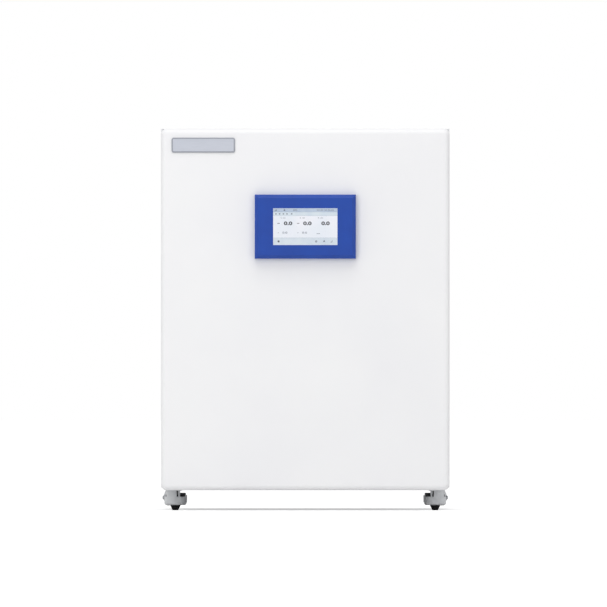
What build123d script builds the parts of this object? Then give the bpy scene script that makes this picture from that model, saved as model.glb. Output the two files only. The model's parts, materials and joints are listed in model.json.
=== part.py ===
from build123d import *
import os
from math import cos, radians, sin

os.makedirs("parts", exist_ok=True)

# A floor-standing carbon dioxide incubator, in millimetres.
# Seen from the front, +X is to the right, +Y goes to the back and +Z up.
# The origin is on the floor, under the middle of the whole object.

# Overall sizes
overall_width = 680.0
overall_height = 900.0
cabinet_depth = 640.0
door_thickness = 58.0
door_gap = 12.0
bezel_depth = 24.0
rear_reach = 26.0
overall_depth = bezel_depth + door_thickness + door_gap + cabinet_depth + rear_reach

# Levels above the floor
door_bottom = 48.0
skirt_bottom = 54.0
base_level = 68.0
chamber_floor = 150.0

# Sheet metal and running gaps
panel_sheet = 1.2
base_sheet = 2.5
seat_gap = 0.3
flange = 16.0

# Places that follow from the sizes
half_width = overall_width / 2
inside_half = half_width - panel_sheet
front = -overall_depth / 2 + bezel_depth + door_thickness + door_gap
back = front + cabinet_depth
panel_back = back - panel_sheet
top_inside = overall_height - panel_sheet

# Heated chamber, set by the thickness of the walls around it
side_wall = 90.0
top_wall = 100.0
rear_wall = 109.0
chamber_sheet = 1.0
chamber_corner = 18.0
flange_overlap = 8.0
recess_margin = 34.0
frame_depth = 30.0
frame_corner = 20.0
heater_sheet = 1.0
heater_margin = 12.0
rear_insulation = 50.0
board_gap = 0.2

chamber_half = half_width - side_wall
chamber_width = 2 * chamber_half
chamber_top = overall_height - top_wall
chamber_height = chamber_top - chamber_floor
chamber_middle = chamber_floor + chamber_height / 2
chamber_front = front + frame_depth
chamber_back = back - rear_wall
liner_half = chamber_half + chamber_sheet
liner_back = chamber_back + chamber_sheet
foam_half = liner_half + heater_sheet
foam_front = chamber_front + chamber_sheet
foam_back = liner_back + heater_sheet + rear_insulation
recess_half = chamber_half + recess_margin
recess_bottom = chamber_floor - recess_margin
recess_top = chamber_top + recess_margin

# Outer door
door_corner = 14.0
door_edge = 12.0
door_skin = 1.2
door_liner_sheet = 1.5
liner_rise = 4.0
liner_margin = 14.0
gasket_inset = 28.0
gasket_width = 16.0
grip_length = 220.0
grip_rise = 472.0
grip_width = 26.0
grip_reach = 26.0
grip_wall = 2.0
door_middle = (door_bottom + overall_height) / 2
door_height = overall_height - door_bottom
door_back = front - door_gap
door_front = door_back - door_thickness
grip_middle = door_bottom + grip_rise

# Outer door hinges
hinge_side = 16.0
hinge_setback = 20.0
hinge_plate = 4.0
hinge_plate_half = 11.0
hinge_plate_seat = 14.0
hinge_notch = 7.0
hinge_block = 24.0
hinge_block_outside = 10.0
hinge_block_front = 24.0
hinge_block_side = 13.0
hinge_pin_radius = 4.0
hinge_pin_length = 20.0
pin_clearance = 0.06
hinge_x = -half_width + hinge_side
hinge_y = door_back - hinge_setback

# Inner glass door
inner_clearance = 8.0
inner_trim_width = 14.0
inner_trim_depth = 9.0
inner_trim_front = 13.0
glass_thickness = 5.0
glass_groove = 8.0
seal_inset = 8.0
seal_width = 10.0
inner_half = recess_half - inner_clearance
inner_bottom = recess_bottom + inner_clearance
inner_top = recess_top - inner_clearance
inner_hinge_x = -recess_half + 5.0
inner_hinge_y = front + 6.0
inner_knuckle = 4.5
inner_pin = 2.0
inner_knuckle_half = 13.7
inner_ear = 6.0
inner_leaf = 1.8
inner_leaf_width = 34.0
inner_hinge_levels = (chamber_floor + 110.0, chamber_top - 110.0)

# Inner door latch
latch_level = chamber_middle
latch_tongue = 15.5
latch_handle_length = 56.0
latch_x = inner_half - inner_trim_width + 4.0
keeper_reach = 5.5

# Shelves, racks and water pan
shelf_count = 3
lowest_shelf = 115.0
space_over_shelves = 195.0
shelf_sheet = 1.0
shelf_lip = 12.0
shelf_side_gap = 8.0
shelf_front_gap = 18.0
shelf_back_gap = 16.0
slot_columns = 7
slot_rows = 11
slot_margin = 10.0
slot_bridge_x = 18.0
slot_bridge_y = 24.0
rack_post = 14.0
rack_thickness = 5.0
rack_inset = 50.0
rack_bottom_gap = 24.0
rack_top_reach = 60.0
rack_slot_pitch = 34.0
rack_slot_width = 6.0
rack_slot_height = 14.0
runner_width = 22.0
runner_sheet = 1.5
runner_height = 12.0
pan_side_gap = 25.0
pan_front_gap = 12.0
pan_back_gap = 24.0
pan_height = 44.0
pan_wall = 1.2
pan_corner = 22.0
pan_rim = 4.0

# Air duct and fan
duct_margin = 24.0
duct_side_margin = 78.0
duct_depth = 30.0
duct_sheet = 1.2
intake_slot_length = 34.0
intake_slot_width = 6.0
intake_radius = 34.0
intake_slots = 12
outlet_width = 40.0
outlet_height = 8.0
outlet_rise = 60.0
outlet_columns = 5
outlet_pitch_x = 56.0
outlet_pitch_z = 22.0
fan_drop = 110.0
fan_gap = 5.0
fan_radius = 62.0
fan_depth = 18.0
fan_blades = 12
fan_plate = 1.5
fan_hub = 12.0
blade_inner = 34.0
blade_sheet = 1.8
blade_lean = 24.0
blade_bow = 3.0
shaft_radius = 4.0
shaft_bore = 6.0
shaft_reach = 24.0
motor_radius = 36.0
motor_length = 42.0
motor_plate = 4.0

shelf_pitch = (chamber_height - lowest_shelf - space_over_shelves) / (shelf_count - 1)
shelf_levels = [chamber_floor + lowest_shelf + step * shelf_pitch for step in range(shelf_count)]
shelf_front = foam_front + shelf_front_gap
shelf_back = chamber_back - duct_depth - shelf_back_gap
shelf_depth = shelf_back - shelf_front
duct_half = chamber_half - duct_side_margin
fan_level = chamber_top - fan_drop

# Control module on the door
bezel_width = 238.0
bezel_height = 151.0
bezel_chamfer = 8.0
bezel_wall = 2.5
bezel_drop = 231.0
bezel_level = overall_height - bezel_drop
window_width = 151.5
window_height = 86.6
screen_margin = 5.0
screen_glass = 1.8
screen_gap = 0.5
display_thickness = 7.0

# Nameplate
plate_width = 149.5
plate_height = 35.0
plate_thickness = 3.0
plate_rim = 2.6
plate_corner = 5.0
plate_side_gap = 25.0
plate_top_gap = 21.4
plate_left = -half_width + plate_side_gap
plate_top = overall_height - plate_top_gap

# Levelling casters
caster_side = 30.0
caster_front_inset = 64.0
caster_rear_inset = 62.0
front_turn = 17.0
rear_turn = 14.0
mount_size = 52.0
mount_hole_spacing = 36.0
mount_hole_radius = 3.0
mount_sheet = 3.5
kingpin_radius = 5.0
kingpin_over_stem = 1.0
head_radius = 19.0
head_top = 57.7
head_bottom = 50.0
deck_bottom = 46.0
wheel_radius = 19.0
wheel_width = 18.0
wheel_trail = 33.0
wheel_lift = 10.8
tread_chamfer = 2.0
axle_radius = 3.0
axle_boss = 8.0
cheek_gap = 1.2
cheek_sheet = 3.6
well_gap = 1.2
stem_offset = 12.0
stem_radius = 4.0
stem_top = 40.0
body_radius = 26.0
body_wall = 4.0
body_bottom = 12.5
body_top = 32.0
body_bevel = 3.0
dial_radius = 23.0
dial_thickness = 5.0
dial_teeth = 16
dial_hub = 5.5
shroud_wall = 2.5
shroud_start = 10.0
shroud_sweep = 62.0
post_start = -7.0
post_sweep = 8.0
pad_radius = 11.5
pad_foot_radius = 6.5
pad_height = 10.0
pad_rim = 3.5
stem_travel = 12.0

# Rear services
port_side_gap = 45.0
port_rise = 75.0
port_bore = 17.0
port_wall = 4.0
port_collar = 5.0
port_collar_depth = 4.0
stopper_head = 16.0
stopper_taper = 1.2
stopper_length = 52.0
knob_radius = 8.0
co2_probe_radius = 13.0
co2_probe_reach = 26.0
co2_head_width = 60.0
co2_head_height = 48.0
co2_head_depth = 30.0
temperature_probe_radius = 4.0
temperature_probe_reach = 30.0
temperature_head_radius = 8.0
temperature_head_length = 12.0
gas_side_gap = 74.0
gas_rise = 180.0
gas_port_rise = 90.0
barb_radius = 4.0
barb_length = 14.0
barb_bore = 1.9
barb_base = 6.0
barb_flange = 8.0
barb_neck = 5.0
valve_width = 34.0
valve_height = 36.0
coil_width = 26.0
coil_height = 30.0
filter_radius = 26.0
filter_thickness = 12.0
filter_side_gap = 56.0
filter_rise = 46.0
hose_radius = 3.5
hose_bend = 12.0
hose_standoff = 26.0
supply_width = 200.0
supply_height = 98.0
supply_depth = 40.0
supply_side_gap = 100.0
supply_rise = 40.0
board_width = 220.0
board_height = 160.0
board_thickness = 1.6
board_standoff = 8.0
board_rise = 190.0
component_height = 16.0
standoff_side = 6.0
standoff_inset = 8.0
inlet_side_gap = 90.0
inlet_rise = 68.0
inlet_width = 74.0
inlet_height = 36.0
inlet_flange = 3.0
inlet_depth = 26.0
inlet_border = 5.0
socket_width = 24.0
socket_height = 17.0
socket_depth = 14.0
socket_offset = 14.0
rocker_offset = 22.0
rocker_length = 20.0
rocker_width = 14.0
rocker_gap = 0.6
rocker_pivot_setback = 1.0
vent_columns = 3
vent_width = 76.0
vent_spacing = 106.0
vent_slot = 6.0
vent_pitch = 14.0
vent_reach = 4.5
vent_sheet = 1.0
upper_vent_rows = 8
upper_vent_drop = 110.0
lower_vent_rows = 4
lower_vent_rise = 66.0

port_x = chamber_half - port_side_gap
port_level = chamber_floor + port_rise
probe_level = fan_level
gas_x = chamber_half - gas_side_gap
gas_level = chamber_floor + gas_rise
gas_port_level = gas_level + gas_port_rise
inlet_x = -half_width + inlet_side_gap
inlet_level = skirt_bottom + inlet_rise


def facing_front(y):
    """The plane at depth y that looks to the front, with its own Y axis pointing up."""
    return Plane.XZ.offset(-y)


def block(x, y, z, mode=Mode.ADD):
    """A box between the given low and high limits along each axis."""
    middle = tuple((low + high) / 2 for low, high in (x, y, z))
    size = [high - low for low, high in (x, y, z)]
    with Locations(middle):
        return Box(*size, mode=mode)


def rod(radius, start, end, axis="Z", at=(0, 0), mode=Mode.ADD):
    """A round bar along one axis, from start to end, at the two other coordinates."""
    length = end - start
    middle = (start + end) / 2
    places = {"X": (middle, *at), "Y": (at[0], middle, at[1]), "Z": (*at, middle)}
    turns = {"X": (0, 90, 0), "Y": (90, 0, 0), "Z": (0, 0, 0)}
    with Locations(Location(places[axis], turns[axis])):
        return Cylinder(radius, length, mode=mode)


def save(piece, name, place=None):
    """Label a finished piece and write it to its own file."""
    part = piece.part if place is None else piece.part.moved(place)
    part.label = name
    export_step(part, f"parts/{name}.step")


def cut_rear_holes(start, end):
    """Holes through a rear wall for the fan shaft, the two probes, the gas hose and the access port."""
    rod(shaft_bore, start, end, "Y", (0, fan_level), Mode.SUBTRACT)
    rod(co2_probe_radius + seat_gap, start, end, "Y", (-port_x, probe_level), Mode.SUBTRACT)
    rod(temperature_probe_radius + seat_gap, start, end, "Y", (port_x, probe_level), Mode.SUBTRACT)
    rod(hose_radius + seat_gap, start, end, "Y", (gas_x, gas_port_level), Mode.SUBTRACT)
    rod(port_bore + port_wall + seat_gap, start, end, "Y", (port_x, port_level), Mode.SUBTRACT)


# Cabinet shell
with BuildPart() as side_panels:
    for side in (-1, 1):
        wall = sorted((side * half_width, side * inside_half))
        lip = sorted((side * inside_half, side * (inside_half - flange)))
        block(wall, (front, panel_back), (skirt_bottom, top_inside))
        block(lip, (panel_back - panel_sheet, panel_back), (base_level + base_sheet, top_inside))
save(side_panels, "side_panels")

with BuildPart() as top_panel:
    block((-half_width, half_width), (front, back), (top_inside, overall_height))
    with BuildSketch(Plane.XY.offset(top_inside)):
        with Locations((0, panel_back - panel_sheet / 2)):
            Rectangle(2 * (inside_half - flange - seat_gap), panel_sheet)
    extrude(amount=-flange)
    front_corners = top_panel.edges().filter_by(Axis.Z).group_by(Axis.Y)[0]
    fillet(front_corners, panel_sheet)
save(top_panel, "top_panel")

# Back panel with two groups of pressed louvres that open downward
vent_rows = [overall_height - upper_vent_drop - row * vent_pitch for row in range(upper_vent_rows)]
vent_rows += [skirt_bottom + lower_vent_rise - row * vent_pitch for row in range(lower_vent_rows)]
vent_x = [(column - (vent_columns - 1) / 2) * vent_spacing for column in range(vent_columns)]
with BuildPart() as back_panel:
    with BuildSketch(facing_front(back)):
        with Locations((0, (skirt_bottom + top_inside) / 2)):
            Rectangle(overall_width, top_inside - skirt_bottom)
        with Locations(*[(x, z) for x in vent_x for z in vent_rows]):
            Rectangle(vent_width - 2 * vent_sheet, vent_slot, mode=Mode.SUBTRACT)
        with Locations((port_x, port_level)):
            Circle(port_bore + port_wall + seat_gap, mode=Mode.SUBTRACT)
        with Locations((gas_x, gas_level)):
            Circle(barb_neck, mode=Mode.SUBTRACT)
        with Locations((inlet_x, inlet_level)):
            Rectangle(
                inlet_width - 2 * inlet_border + 2 * seat_gap,
                inlet_height - 2 * inlet_border + 2 * seat_gap,
                mode=Mode.SUBTRACT,
            )
    extrude(amount=panel_sheet)
    hood_top = vent_slot / 2 + vent_sheet
    hood_foot = (vent_reach, -vent_slot / 2)
    for x in vent_x:
        left = x - vent_width / 2
        with BuildSketch(Plane.YZ.offset(left)):
            with Locations(*[(back, z) for z in vent_rows]):
                Polygon(
                    (0, hood_top),
                    hood_foot,
                    (vent_reach - vent_sheet, -vent_slot / 2),
                    (0, vent_slot / 2),
                    align=None,
                )
        extrude(amount=vent_width)
        for end in (left, x + vent_width / 2 - vent_sheet):
            with BuildSketch(Plane.YZ.offset(end)):
                with Locations(*[(back, z) for z in vent_rows]):
                    Polygon((0, hood_top), hood_foot, (0, -vent_slot / 2), align=None)
            extrude(amount=vent_sheet)
save(back_panel, "back_panel")

# Base pan: a shallow tray turned upside down that carries the casters
with BuildPart() as base_pan:
    block(
        (-inside_half, inside_half),
        (chamber_front, panel_back - panel_sheet),
        (skirt_bottom, base_level + base_sheet),
    )
    underside = base_pan.faces().sort_by(Axis.Z)[0]
    offset(amount=-base_sheet, openings=underside, kind=Kind.INTERSECTION)
save(base_pan, "base_pan")

# Front frame with the recess that takes the inner door
with BuildPart() as front_frame:
    with BuildSketch(facing_front(chamber_front)):
        with Locations((0, (skirt_bottom + top_inside) / 2)):
            Rectangle(2 * inside_half, top_inside - skirt_bottom)
        with Locations((0, chamber_middle)):
            RectangleRounded(
                2 * recess_half, recess_top - recess_bottom, frame_corner, mode=Mode.SUBTRACT
            )
    extrude(amount=frame_depth)
    recess_rim = front_frame.faces().sort_by(Axis.Y)[0].inner_wires()[0].edges()
    fillet(recess_rim, 3)
    pocket_x = (hinge_x - hinge_plate_half - seat_gap, hinge_x + hinge_plate_half + seat_gap)
    pocket_y = (front, front + hinge_plate_seat + seat_gap)
    block(pocket_x, pocket_y, (top_inside - hinge_plate, top_inside), Mode.SUBTRACT)
save(front_frame, "front_frame")

# Stainless chamber liner with its front flange
with BuildPart() as inner_chamber:
    with BuildSketch(facing_front(foam_front)):
        with Locations((0, chamber_middle)):
            RectangleRounded(
                chamber_width + 2 * chamber_sheet,
                chamber_height + 2 * chamber_sheet,
                chamber_corner + chamber_sheet,
            )
    extrude(amount=-(liner_back - foam_front))
    fillet(inner_chamber.faces().sort_by(Axis.Y)[-1].edges(), chamber_corner)
    offset(amount=-chamber_sheet, openings=inner_chamber.faces().sort_by(Axis.Y)[0])
    with BuildSketch(facing_front(foam_front)):
        with Locations((0, chamber_middle)):
            RectangleRounded(
                2 * (recess_half + flange_overlap),
                recess_top - recess_bottom + 2 * flange_overlap,
                frame_corner,
            )
            RectangleRounded(chamber_width, chamber_height, chamber_corner, mode=Mode.SUBTRACT)
    extrude(amount=chamber_sheet)
    cut_rear_holes(chamber_back - chamber_sheet, liner_back + chamber_sheet)
save(inner_chamber, "inner_chamber")

# Heating films on the outside of the liner
film_edge = chamber_corner + heater_margin
film_y = (foam_front + heater_margin, chamber_back - film_edge)
film_z = (chamber_floor + film_edge, chamber_top - film_edge)
film_x = (-chamber_half + film_edge, chamber_half - film_edge)
with BuildPart() as heater_films:
    block((-foam_half, -liner_half), film_y, film_z)
    block((liner_half, foam_half), film_y, film_z)
    block(film_x, film_y, (chamber_floor - chamber_sheet - heater_sheet, chamber_floor - chamber_sheet))
    block(film_x, film_y, (chamber_top + chamber_sheet, chamber_top + chamber_sheet + heater_sheet))
    block(
        (-duct_half + film_edge, duct_half - film_edge),
        (liner_back, liner_back + heater_sheet),
        (port_level + film_edge, fan_level - film_edge),
    )
save(heater_films, "heater_films")

# Insulation: five boards around the liner
foam_floor = chamber_floor - chamber_sheet - heater_sheet
foam_ceiling = chamber_top + chamber_sheet + heater_sheet
with BuildPart() as insulation_panels:
    board_y = (foam_front, foam_back)
    block((-inside_half, -foam_half), board_y, (base_level + base_sheet, top_inside))
    block((foam_half, inside_half), board_y, (base_level + base_sheet, top_inside))
    board_x = (-foam_half + board_gap, foam_half - board_gap)
    block(board_x, board_y, (base_level + base_sheet, foam_floor))
    block(board_x, board_y, (foam_ceiling, top_inside))
    rear_board_z = (foam_floor + board_gap, foam_ceiling - board_gap)
    block(board_x, (foam_back - rear_insulation, foam_back), rear_board_z)
    cut_rear_holes(foam_back - rear_insulation, foam_back)
save(insulation_panels, "insulation_panels")

# Shelf racks: on either wall two slotted posts, and one runner for each shelf
rack_z = (chamber_floor + rack_bottom_gap, shelf_levels[-1] + rack_top_reach)
rack_slots = int((rack_z[1] - rack_z[0]) // rack_slot_pitch)
with BuildPart() as shelf_racks:
    for side in (-1, 1):
        post_x = sorted((side * chamber_half, side * (chamber_half - rack_thickness)))
        leaf_x = sorted((side * (chamber_half - rack_thickness), side * (chamber_half - runner_width)))
        for y in (shelf_front + rack_inset, shelf_back - rack_inset):
            block(post_x, (y - rack_post / 2, y + rack_post / 2), rack_z)
            with BuildSketch(Plane.YZ.offset(post_x[0])):
                with Locations((y, sum(rack_z) / 2)):
                    with GridLocations(0, rack_slot_pitch, 1, rack_slots):
                        Rectangle(rack_slot_width, rack_slot_height)
            extrude(amount=rack_thickness, mode=Mode.SUBTRACT)
        for level in shelf_levels:
            under = level - shelf_sheet
            block(post_x, (shelf_front, shelf_back), (under - runner_height, under))
            block(leaf_x, (shelf_front, shelf_back), (under - runner_sheet, under))
save(shelf_racks, "shelf_racks")

# Shelves: perforated sheet with a lip turned down in front and behind
shelf_half = chamber_half - shelf_side_gap
lip_half = chamber_half - runner_width - seat_gap
slot_pitch_x = 2 * (lip_half - slot_margin) / slot_columns
slot_pitch_y = (shelf_depth - 2 * slot_margin) / slot_rows
for number, level in enumerate(shelf_levels, start=1):
    with BuildPart() as shelf:
        with BuildSketch(Plane.XY.offset(level)):
            with Locations((0, shelf_front + shelf_depth / 2)):
                Rectangle(2 * shelf_half, shelf_depth)
                with GridLocations(slot_pitch_x, slot_pitch_y, slot_columns, slot_rows):
                    Rectangle(
                        slot_pitch_x - slot_bridge_x, slot_pitch_y - slot_bridge_y, mode=Mode.SUBTRACT
                    )
        extrude(amount=-shelf_sheet)
        for lip_y in (shelf_front, shelf_back - shelf_sheet):
            block((-lip_half, lip_half), (lip_y, lip_y + shelf_sheet), (level - shelf_lip, level))
    save(shelf, f"shelf_{number}")

# Water pan on the chamber floor, with a flat rim
pan_half = chamber_half - pan_side_gap
pan_y = (shelf_front + pan_front_gap, shelf_back - pan_back_gap)
pan_bottom = chamber_floor + seat_gap
with BuildPart() as water_pan:
    with BuildSketch(Plane.XY.offset(pan_bottom)):
        with Locations((0, sum(pan_y) / 2)):
            RectangleRounded(2 * pan_half, pan_y[1] - pan_y[0], pan_corner)
    extrude(amount=pan_height)
    chamfer(water_pan.faces().sort_by(Axis.Z)[0].edges(), 5)
    offset(amount=-pan_wall, openings=water_pan.faces().sort_by(Axis.Z)[-1])
    with BuildSketch(Plane.XY.offset(pan_bottom + pan_height)):
        with Locations((0, sum(pan_y) / 2)):
            RectangleRounded(
                2 * (pan_half + pan_rim), pan_y[1] - pan_y[0] + 2 * pan_rim, pan_corner + pan_rim
            )
            RectangleRounded(
                2 * (pan_half - pan_wall),
                pan_y[1] - pan_y[0] - 2 * pan_wall,
                pan_corner - pan_wall,
                mode=Mode.SUBTRACT,
            )
    extrude(amount=-pan_wall)
save(water_pan, "water_pan")

# Air duct cover on the rear wall, with a round intake and two rows of outlets
duct_front = chamber_back - duct_depth
duct_bottom = chamber_floor + duct_margin
duct_top = chamber_top - duct_margin
with BuildPart() as duct_panel:
    block((-duct_half, duct_half), (duct_front, chamber_back), (duct_bottom, duct_top))
    chamfer(duct_panel.faces().sort_by(Axis.Y)[0].edges(), 9)
    offset(
        amount=-duct_sheet,
        openings=duct_panel.faces().sort_by(Axis.Y)[-1],
        kind=Kind.INTERSECTION,
    )
    with BuildSketch(facing_front(duct_front)):
        with Locations((0, fan_level)):
            with PolarLocations(intake_radius, intake_slots):
                Rectangle(intake_slot_length, intake_slot_width)
        with Locations((0, duct_bottom + outlet_rise)):
            with GridLocations(outlet_pitch_x, outlet_pitch_z, outlet_columns, 2):
                Rectangle(outlet_width, outlet_height)
    extrude(amount=-2 * duct_sheet, mode=Mode.SUBTRACT)
save(duct_panel, "duct_panel")

# Fan: impeller with curved blades and its shaft inside the duct, motor behind the insulation
fan_front = duct_front + fan_gap
fan_plate_y = fan_front + fan_depth
blade_lead = (blade_inner, 0)
blade_tip = (fan_radius * cos(radians(blade_lean)), fan_radius * sin(radians(blade_lean)))
blade_belly = ((blade_lead[0] + blade_tip[0]) / 2 + blade_bow, blade_tip[1] / 2 - blade_bow)
with BuildSketch(mode=Mode.PRIVATE) as blade:
    with BuildLine():
        ThreePointArc(blade_lead, blade_belly, blade_tip)
        offset(amount=blade_sheet / 2)
    make_face()
with BuildPart() as fan_impeller:
    rod(fan_radius, fan_plate_y, fan_plate_y + fan_plate, "Y", (0, fan_level))
    rod(fan_hub, fan_front, fan_plate_y, "Y", (0, fan_level))
    rod(shaft_radius, fan_plate_y, foam_back + shaft_reach, "Y", (0, fan_level))
    with BuildSketch(facing_front(fan_plate_y)):
        with Locations((0, fan_level)):
            with PolarLocations(0, fan_blades):
                add(blade.sketch)
    extrude(amount=fan_depth - fan_plate)
save(fan_impeller, "fan_impeller")

with BuildPart() as fan_motor:
    rod(motor_radius, foam_back + motor_plate, foam_back + motor_length, "Y", (0, fan_level))
    block(
        (-motor_radius - fan_hub, motor_radius + fan_hub),
        (foam_back, foam_back + motor_plate),
        (fan_level - 2 * fan_hub, fan_level + 2 * fan_hub),
    )
    motor_bore = shaft_radius + pin_clearance
    rod(motor_bore, foam_back, foam_back + shaft_reach + 2, "Y", (0, fan_level), Mode.SUBTRACT)
save(fan_motor, "fan_motor")

# Carbon dioxide and temperature sensors through the rear wall
with BuildPart() as chamber_sensors:
    rod(co2_probe_radius, chamber_back - co2_probe_reach, foam_back, "Y", (-port_x, probe_level))
    block(
        (-port_x - co2_head_width / 2, -port_x + co2_head_width / 2),
        (foam_back, foam_back + co2_head_depth),
        (probe_level - co2_head_height / 2, probe_level + co2_head_height / 2),
    )
    probe_start = chamber_back - temperature_probe_reach
    rod(temperature_probe_radius, probe_start, foam_back, "Y", (port_x, probe_level))
    head_end = foam_back + temperature_head_length
    rod(temperature_head_radius, foam_back, head_end, "Y", (port_x, probe_level))
save(chamber_sensors, "chamber_sensors")

# Gas supply: rear barb, valve, filter and hoses
valve_back = panel_back - barb_base - seat_gap
with BuildPart() as gas_inlet:
    rod(barb_radius, back + barb_base, back + barb_base + barb_length, "Y", (gas_x, gas_level))
    rod(barb_flange, back, back + barb_base, "Y", (gas_x, gas_level))
    rod(barb_neck - seat_gap, panel_back - barb_base, back, "Y", (gas_x, gas_level))
    barb_reach = (panel_back - barb_base, back + barb_base + barb_length)
    rod(barb_bore, *barb_reach, "Y", (gas_x, gas_level), Mode.SUBTRACT)
save(gas_inlet, "gas_inlet")

valve_x = (gas_x - valve_width / 2, gas_x + valve_width / 2)
valve_z = (gas_level - valve_height / 2, gas_level + valve_height / 2)
with BuildPart() as solenoid_valve:
    block(valve_x, (foam_back, valve_back), valve_z)
    coil_x = (gas_x - coil_width / 2, gas_x + coil_width / 2)
    block(coil_x, (foam_back + 4, valve_back - 8), (valve_z[1], valve_z[1] + coil_height))
save(solenoid_valve, "solenoid_valve")

filter_x = gas_x - filter_side_gap
filter_level = gas_level + filter_rise
hose_y = foam_back + hose_standoff
hose_entry = filter_radius - hose_radius
with BuildPart() as gas_line:
    filter_y = (hose_y - filter_thickness / 2, hose_y + filter_thickness / 2)
    rod(filter_radius, *filter_y, "Y", (filter_x, filter_level))
    block(
        (filter_x - filter_thickness / 2, filter_x + filter_thickness / 2),
        (foam_back, filter_y[0]),
        (filter_level - filter_thickness / 2, filter_level + filter_thickness / 2),
    )
    with BuildLine():
        inlet_hose = FilletPolyline(
            (valve_x[0], hose_y, gas_level),
            (filter_x, hose_y, gas_level),
            (filter_x, hose_y, filter_level - hose_entry),
            radius=hose_bend,
        )
    with BuildSketch(Plane(origin=inlet_hose @ 0, z_dir=inlet_hose % 0)):
        Circle(hose_radius)
    sweep()
    with BuildLine():
        chamber_hose = FilletPolyline(
            (filter_x, hose_y, filter_level + hose_entry),
            (filter_x, hose_y, gas_port_level),
            (gas_x, hose_y, gas_port_level),
            (gas_x, chamber_back - 4, gas_port_level),
            radius=hose_bend,
        )
    with BuildSketch(Plane(origin=chamber_hose @ 0, z_dir=chamber_hose % 0)):
        Circle(hose_radius)
    sweep()
save(gas_line, "gas_line")

# Electrical supply and control board in the rear compartment
supply_x = -chamber_half + supply_side_gap
supply_z = chamber_floor + supply_rise
with BuildPart() as power_supply:
    block(
        (supply_x, supply_x + supply_width),
        (foam_back, foam_back + supply_depth),
        (supply_z, supply_z + supply_height),
    )
    chamfer(power_supply.faces().sort_by(Axis.Y)[-1].edges(), 3)
save(power_supply, "power_supply")

pcb_x = (-chamber_half, -chamber_half + board_width)
pcb_z = (chamber_floor + board_rise, chamber_floor + board_rise + board_height)
pcb_face = foam_back + board_standoff + board_thickness
with BuildPart() as control_board:
    with BuildSketch(facing_front(pcb_face)):
        with Locations((sum(pcb_x) / 2, sum(pcb_z) / 2)):
            Rectangle(board_width, board_height)
    extrude(amount=board_thickness)
    with BuildSketch(facing_front(foam_back + board_standoff)):
        with Locations((sum(pcb_x) / 2, sum(pcb_z) / 2)):
            with GridLocations(
                board_width - 2 * standoff_inset, board_height - 2 * standoff_inset, 2, 2
            ):
                Rectangle(standoff_side, standoff_side)
    extrude(amount=board_standoff)
    with BuildSketch(facing_front(pcb_face)):
        with Locations((pcb_x[0] + 30, pcb_z[0] + 40)):
            Rectangle(44, 42)
        with Locations((pcb_x[0] + 110, pcb_z[0] + 34)):
            with GridLocations(25, 0, 3, 1):
                Rectangle(18, 28)
        with Locations((sum(pcb_x) / 2, pcb_z[1] - 45)):
            Rectangle(45, 40)
    extrude(amount=-component_height)
save(control_board, "control_board")

# Mains inlet with its socket and the well for the rocker switch
socket_x = inlet_x - socket_offset
rocker_x = inlet_x + rocker_offset
with BuildPart() as power_inlet:
    with BuildSketch(facing_front(back)):
        with Locations((inlet_x, inlet_level)):
            RectangleRounded(inlet_width, inlet_height, 4)
    extrude(amount=-inlet_flange)
    with BuildSketch(facing_front(back)):
        with Locations((inlet_x, inlet_level)):
            Rectangle(inlet_width - 2 * inlet_border, inlet_height - 2 * inlet_border)
    extrude(amount=inlet_depth)
    with BuildSketch(facing_front(back + inlet_flange)):
        with Locations((socket_x, inlet_level)):
            Rectangle(socket_width, socket_height)
        with Locations((rocker_x, inlet_level)):
            Rectangle(rocker_width + 2 * seat_gap, rocker_length + 2 * rocker_gap)
    extrude(amount=socket_depth, mode=Mode.SUBTRACT)
save(power_inlet, "power_inlet")

# Rocker: a bar that tips about its middle, pressed in at the bottom
rocker_y = back - rocker_pivot_setback
half_rocker = rocker_length / 2
with BuildPart() as power_switch:
    with BuildSketch(Plane.YZ.offset(rocker_x - rocker_width / 2)):
        with Locations((rocker_y, inlet_level)):
            Polygon(
                (-3.5, 0.4 - half_rocker),
                (0, -half_rocker),
                (4.2, 0.6 - half_rocker),
                (2.2, 0),
                (7, half_rocker - 1.4),
                (0, half_rocker),
                (-3.5, half_rocker - 0.4),
                align=None,
            )
    extrude(amount=rocker_width)
    pivot_half = rocker_width / 2 + seat_gap
    rod(1.5, rocker_x - pivot_half, rocker_x + pivot_half, "X", (rocker_y, inlet_level))
save(power_switch, "power_switch")

# Access port through the rear wall, and its stopper
with BuildPart() as access_port_sleeve:
    rod(port_bore + port_wall, chamber_back - 3, back + port_collar_depth, "Y", (port_x, port_level))
    rod(port_bore + port_wall + port_collar, back, back + port_collar_depth, "Y", (port_x, port_level))
    rod(port_bore, chamber_back - 4, back + port_collar_depth + 1, "Y", (port_x, port_level), Mode.SUBTRACT)
save(access_port_sleeve, "access_port_sleeve")

cap_start = back + port_collar_depth + seat_gap
with BuildPart() as port_plug:
    with BuildSketch(Plane.XY):
        with BuildLine():
            Polyline(
                (0, back - stopper_length),
                (port_bore - seat_gap - stopper_taper, back - stopper_length),
                (port_bore - seat_gap, back),
                (port_bore - seat_gap, cap_start),
                (port_bore + port_wall, cap_start),
                (port_bore + port_wall, back + stopper_head),
                (knob_radius, back + stopper_head),
                (knob_radius - 1, back + rear_reach),
                (0, back + rear_reach),
                close=True,
            )
        make_face()
    revolve(axis=Axis.Y)
save(port_plug, "port_plug", Location((port_x, 0, port_level)))

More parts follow.
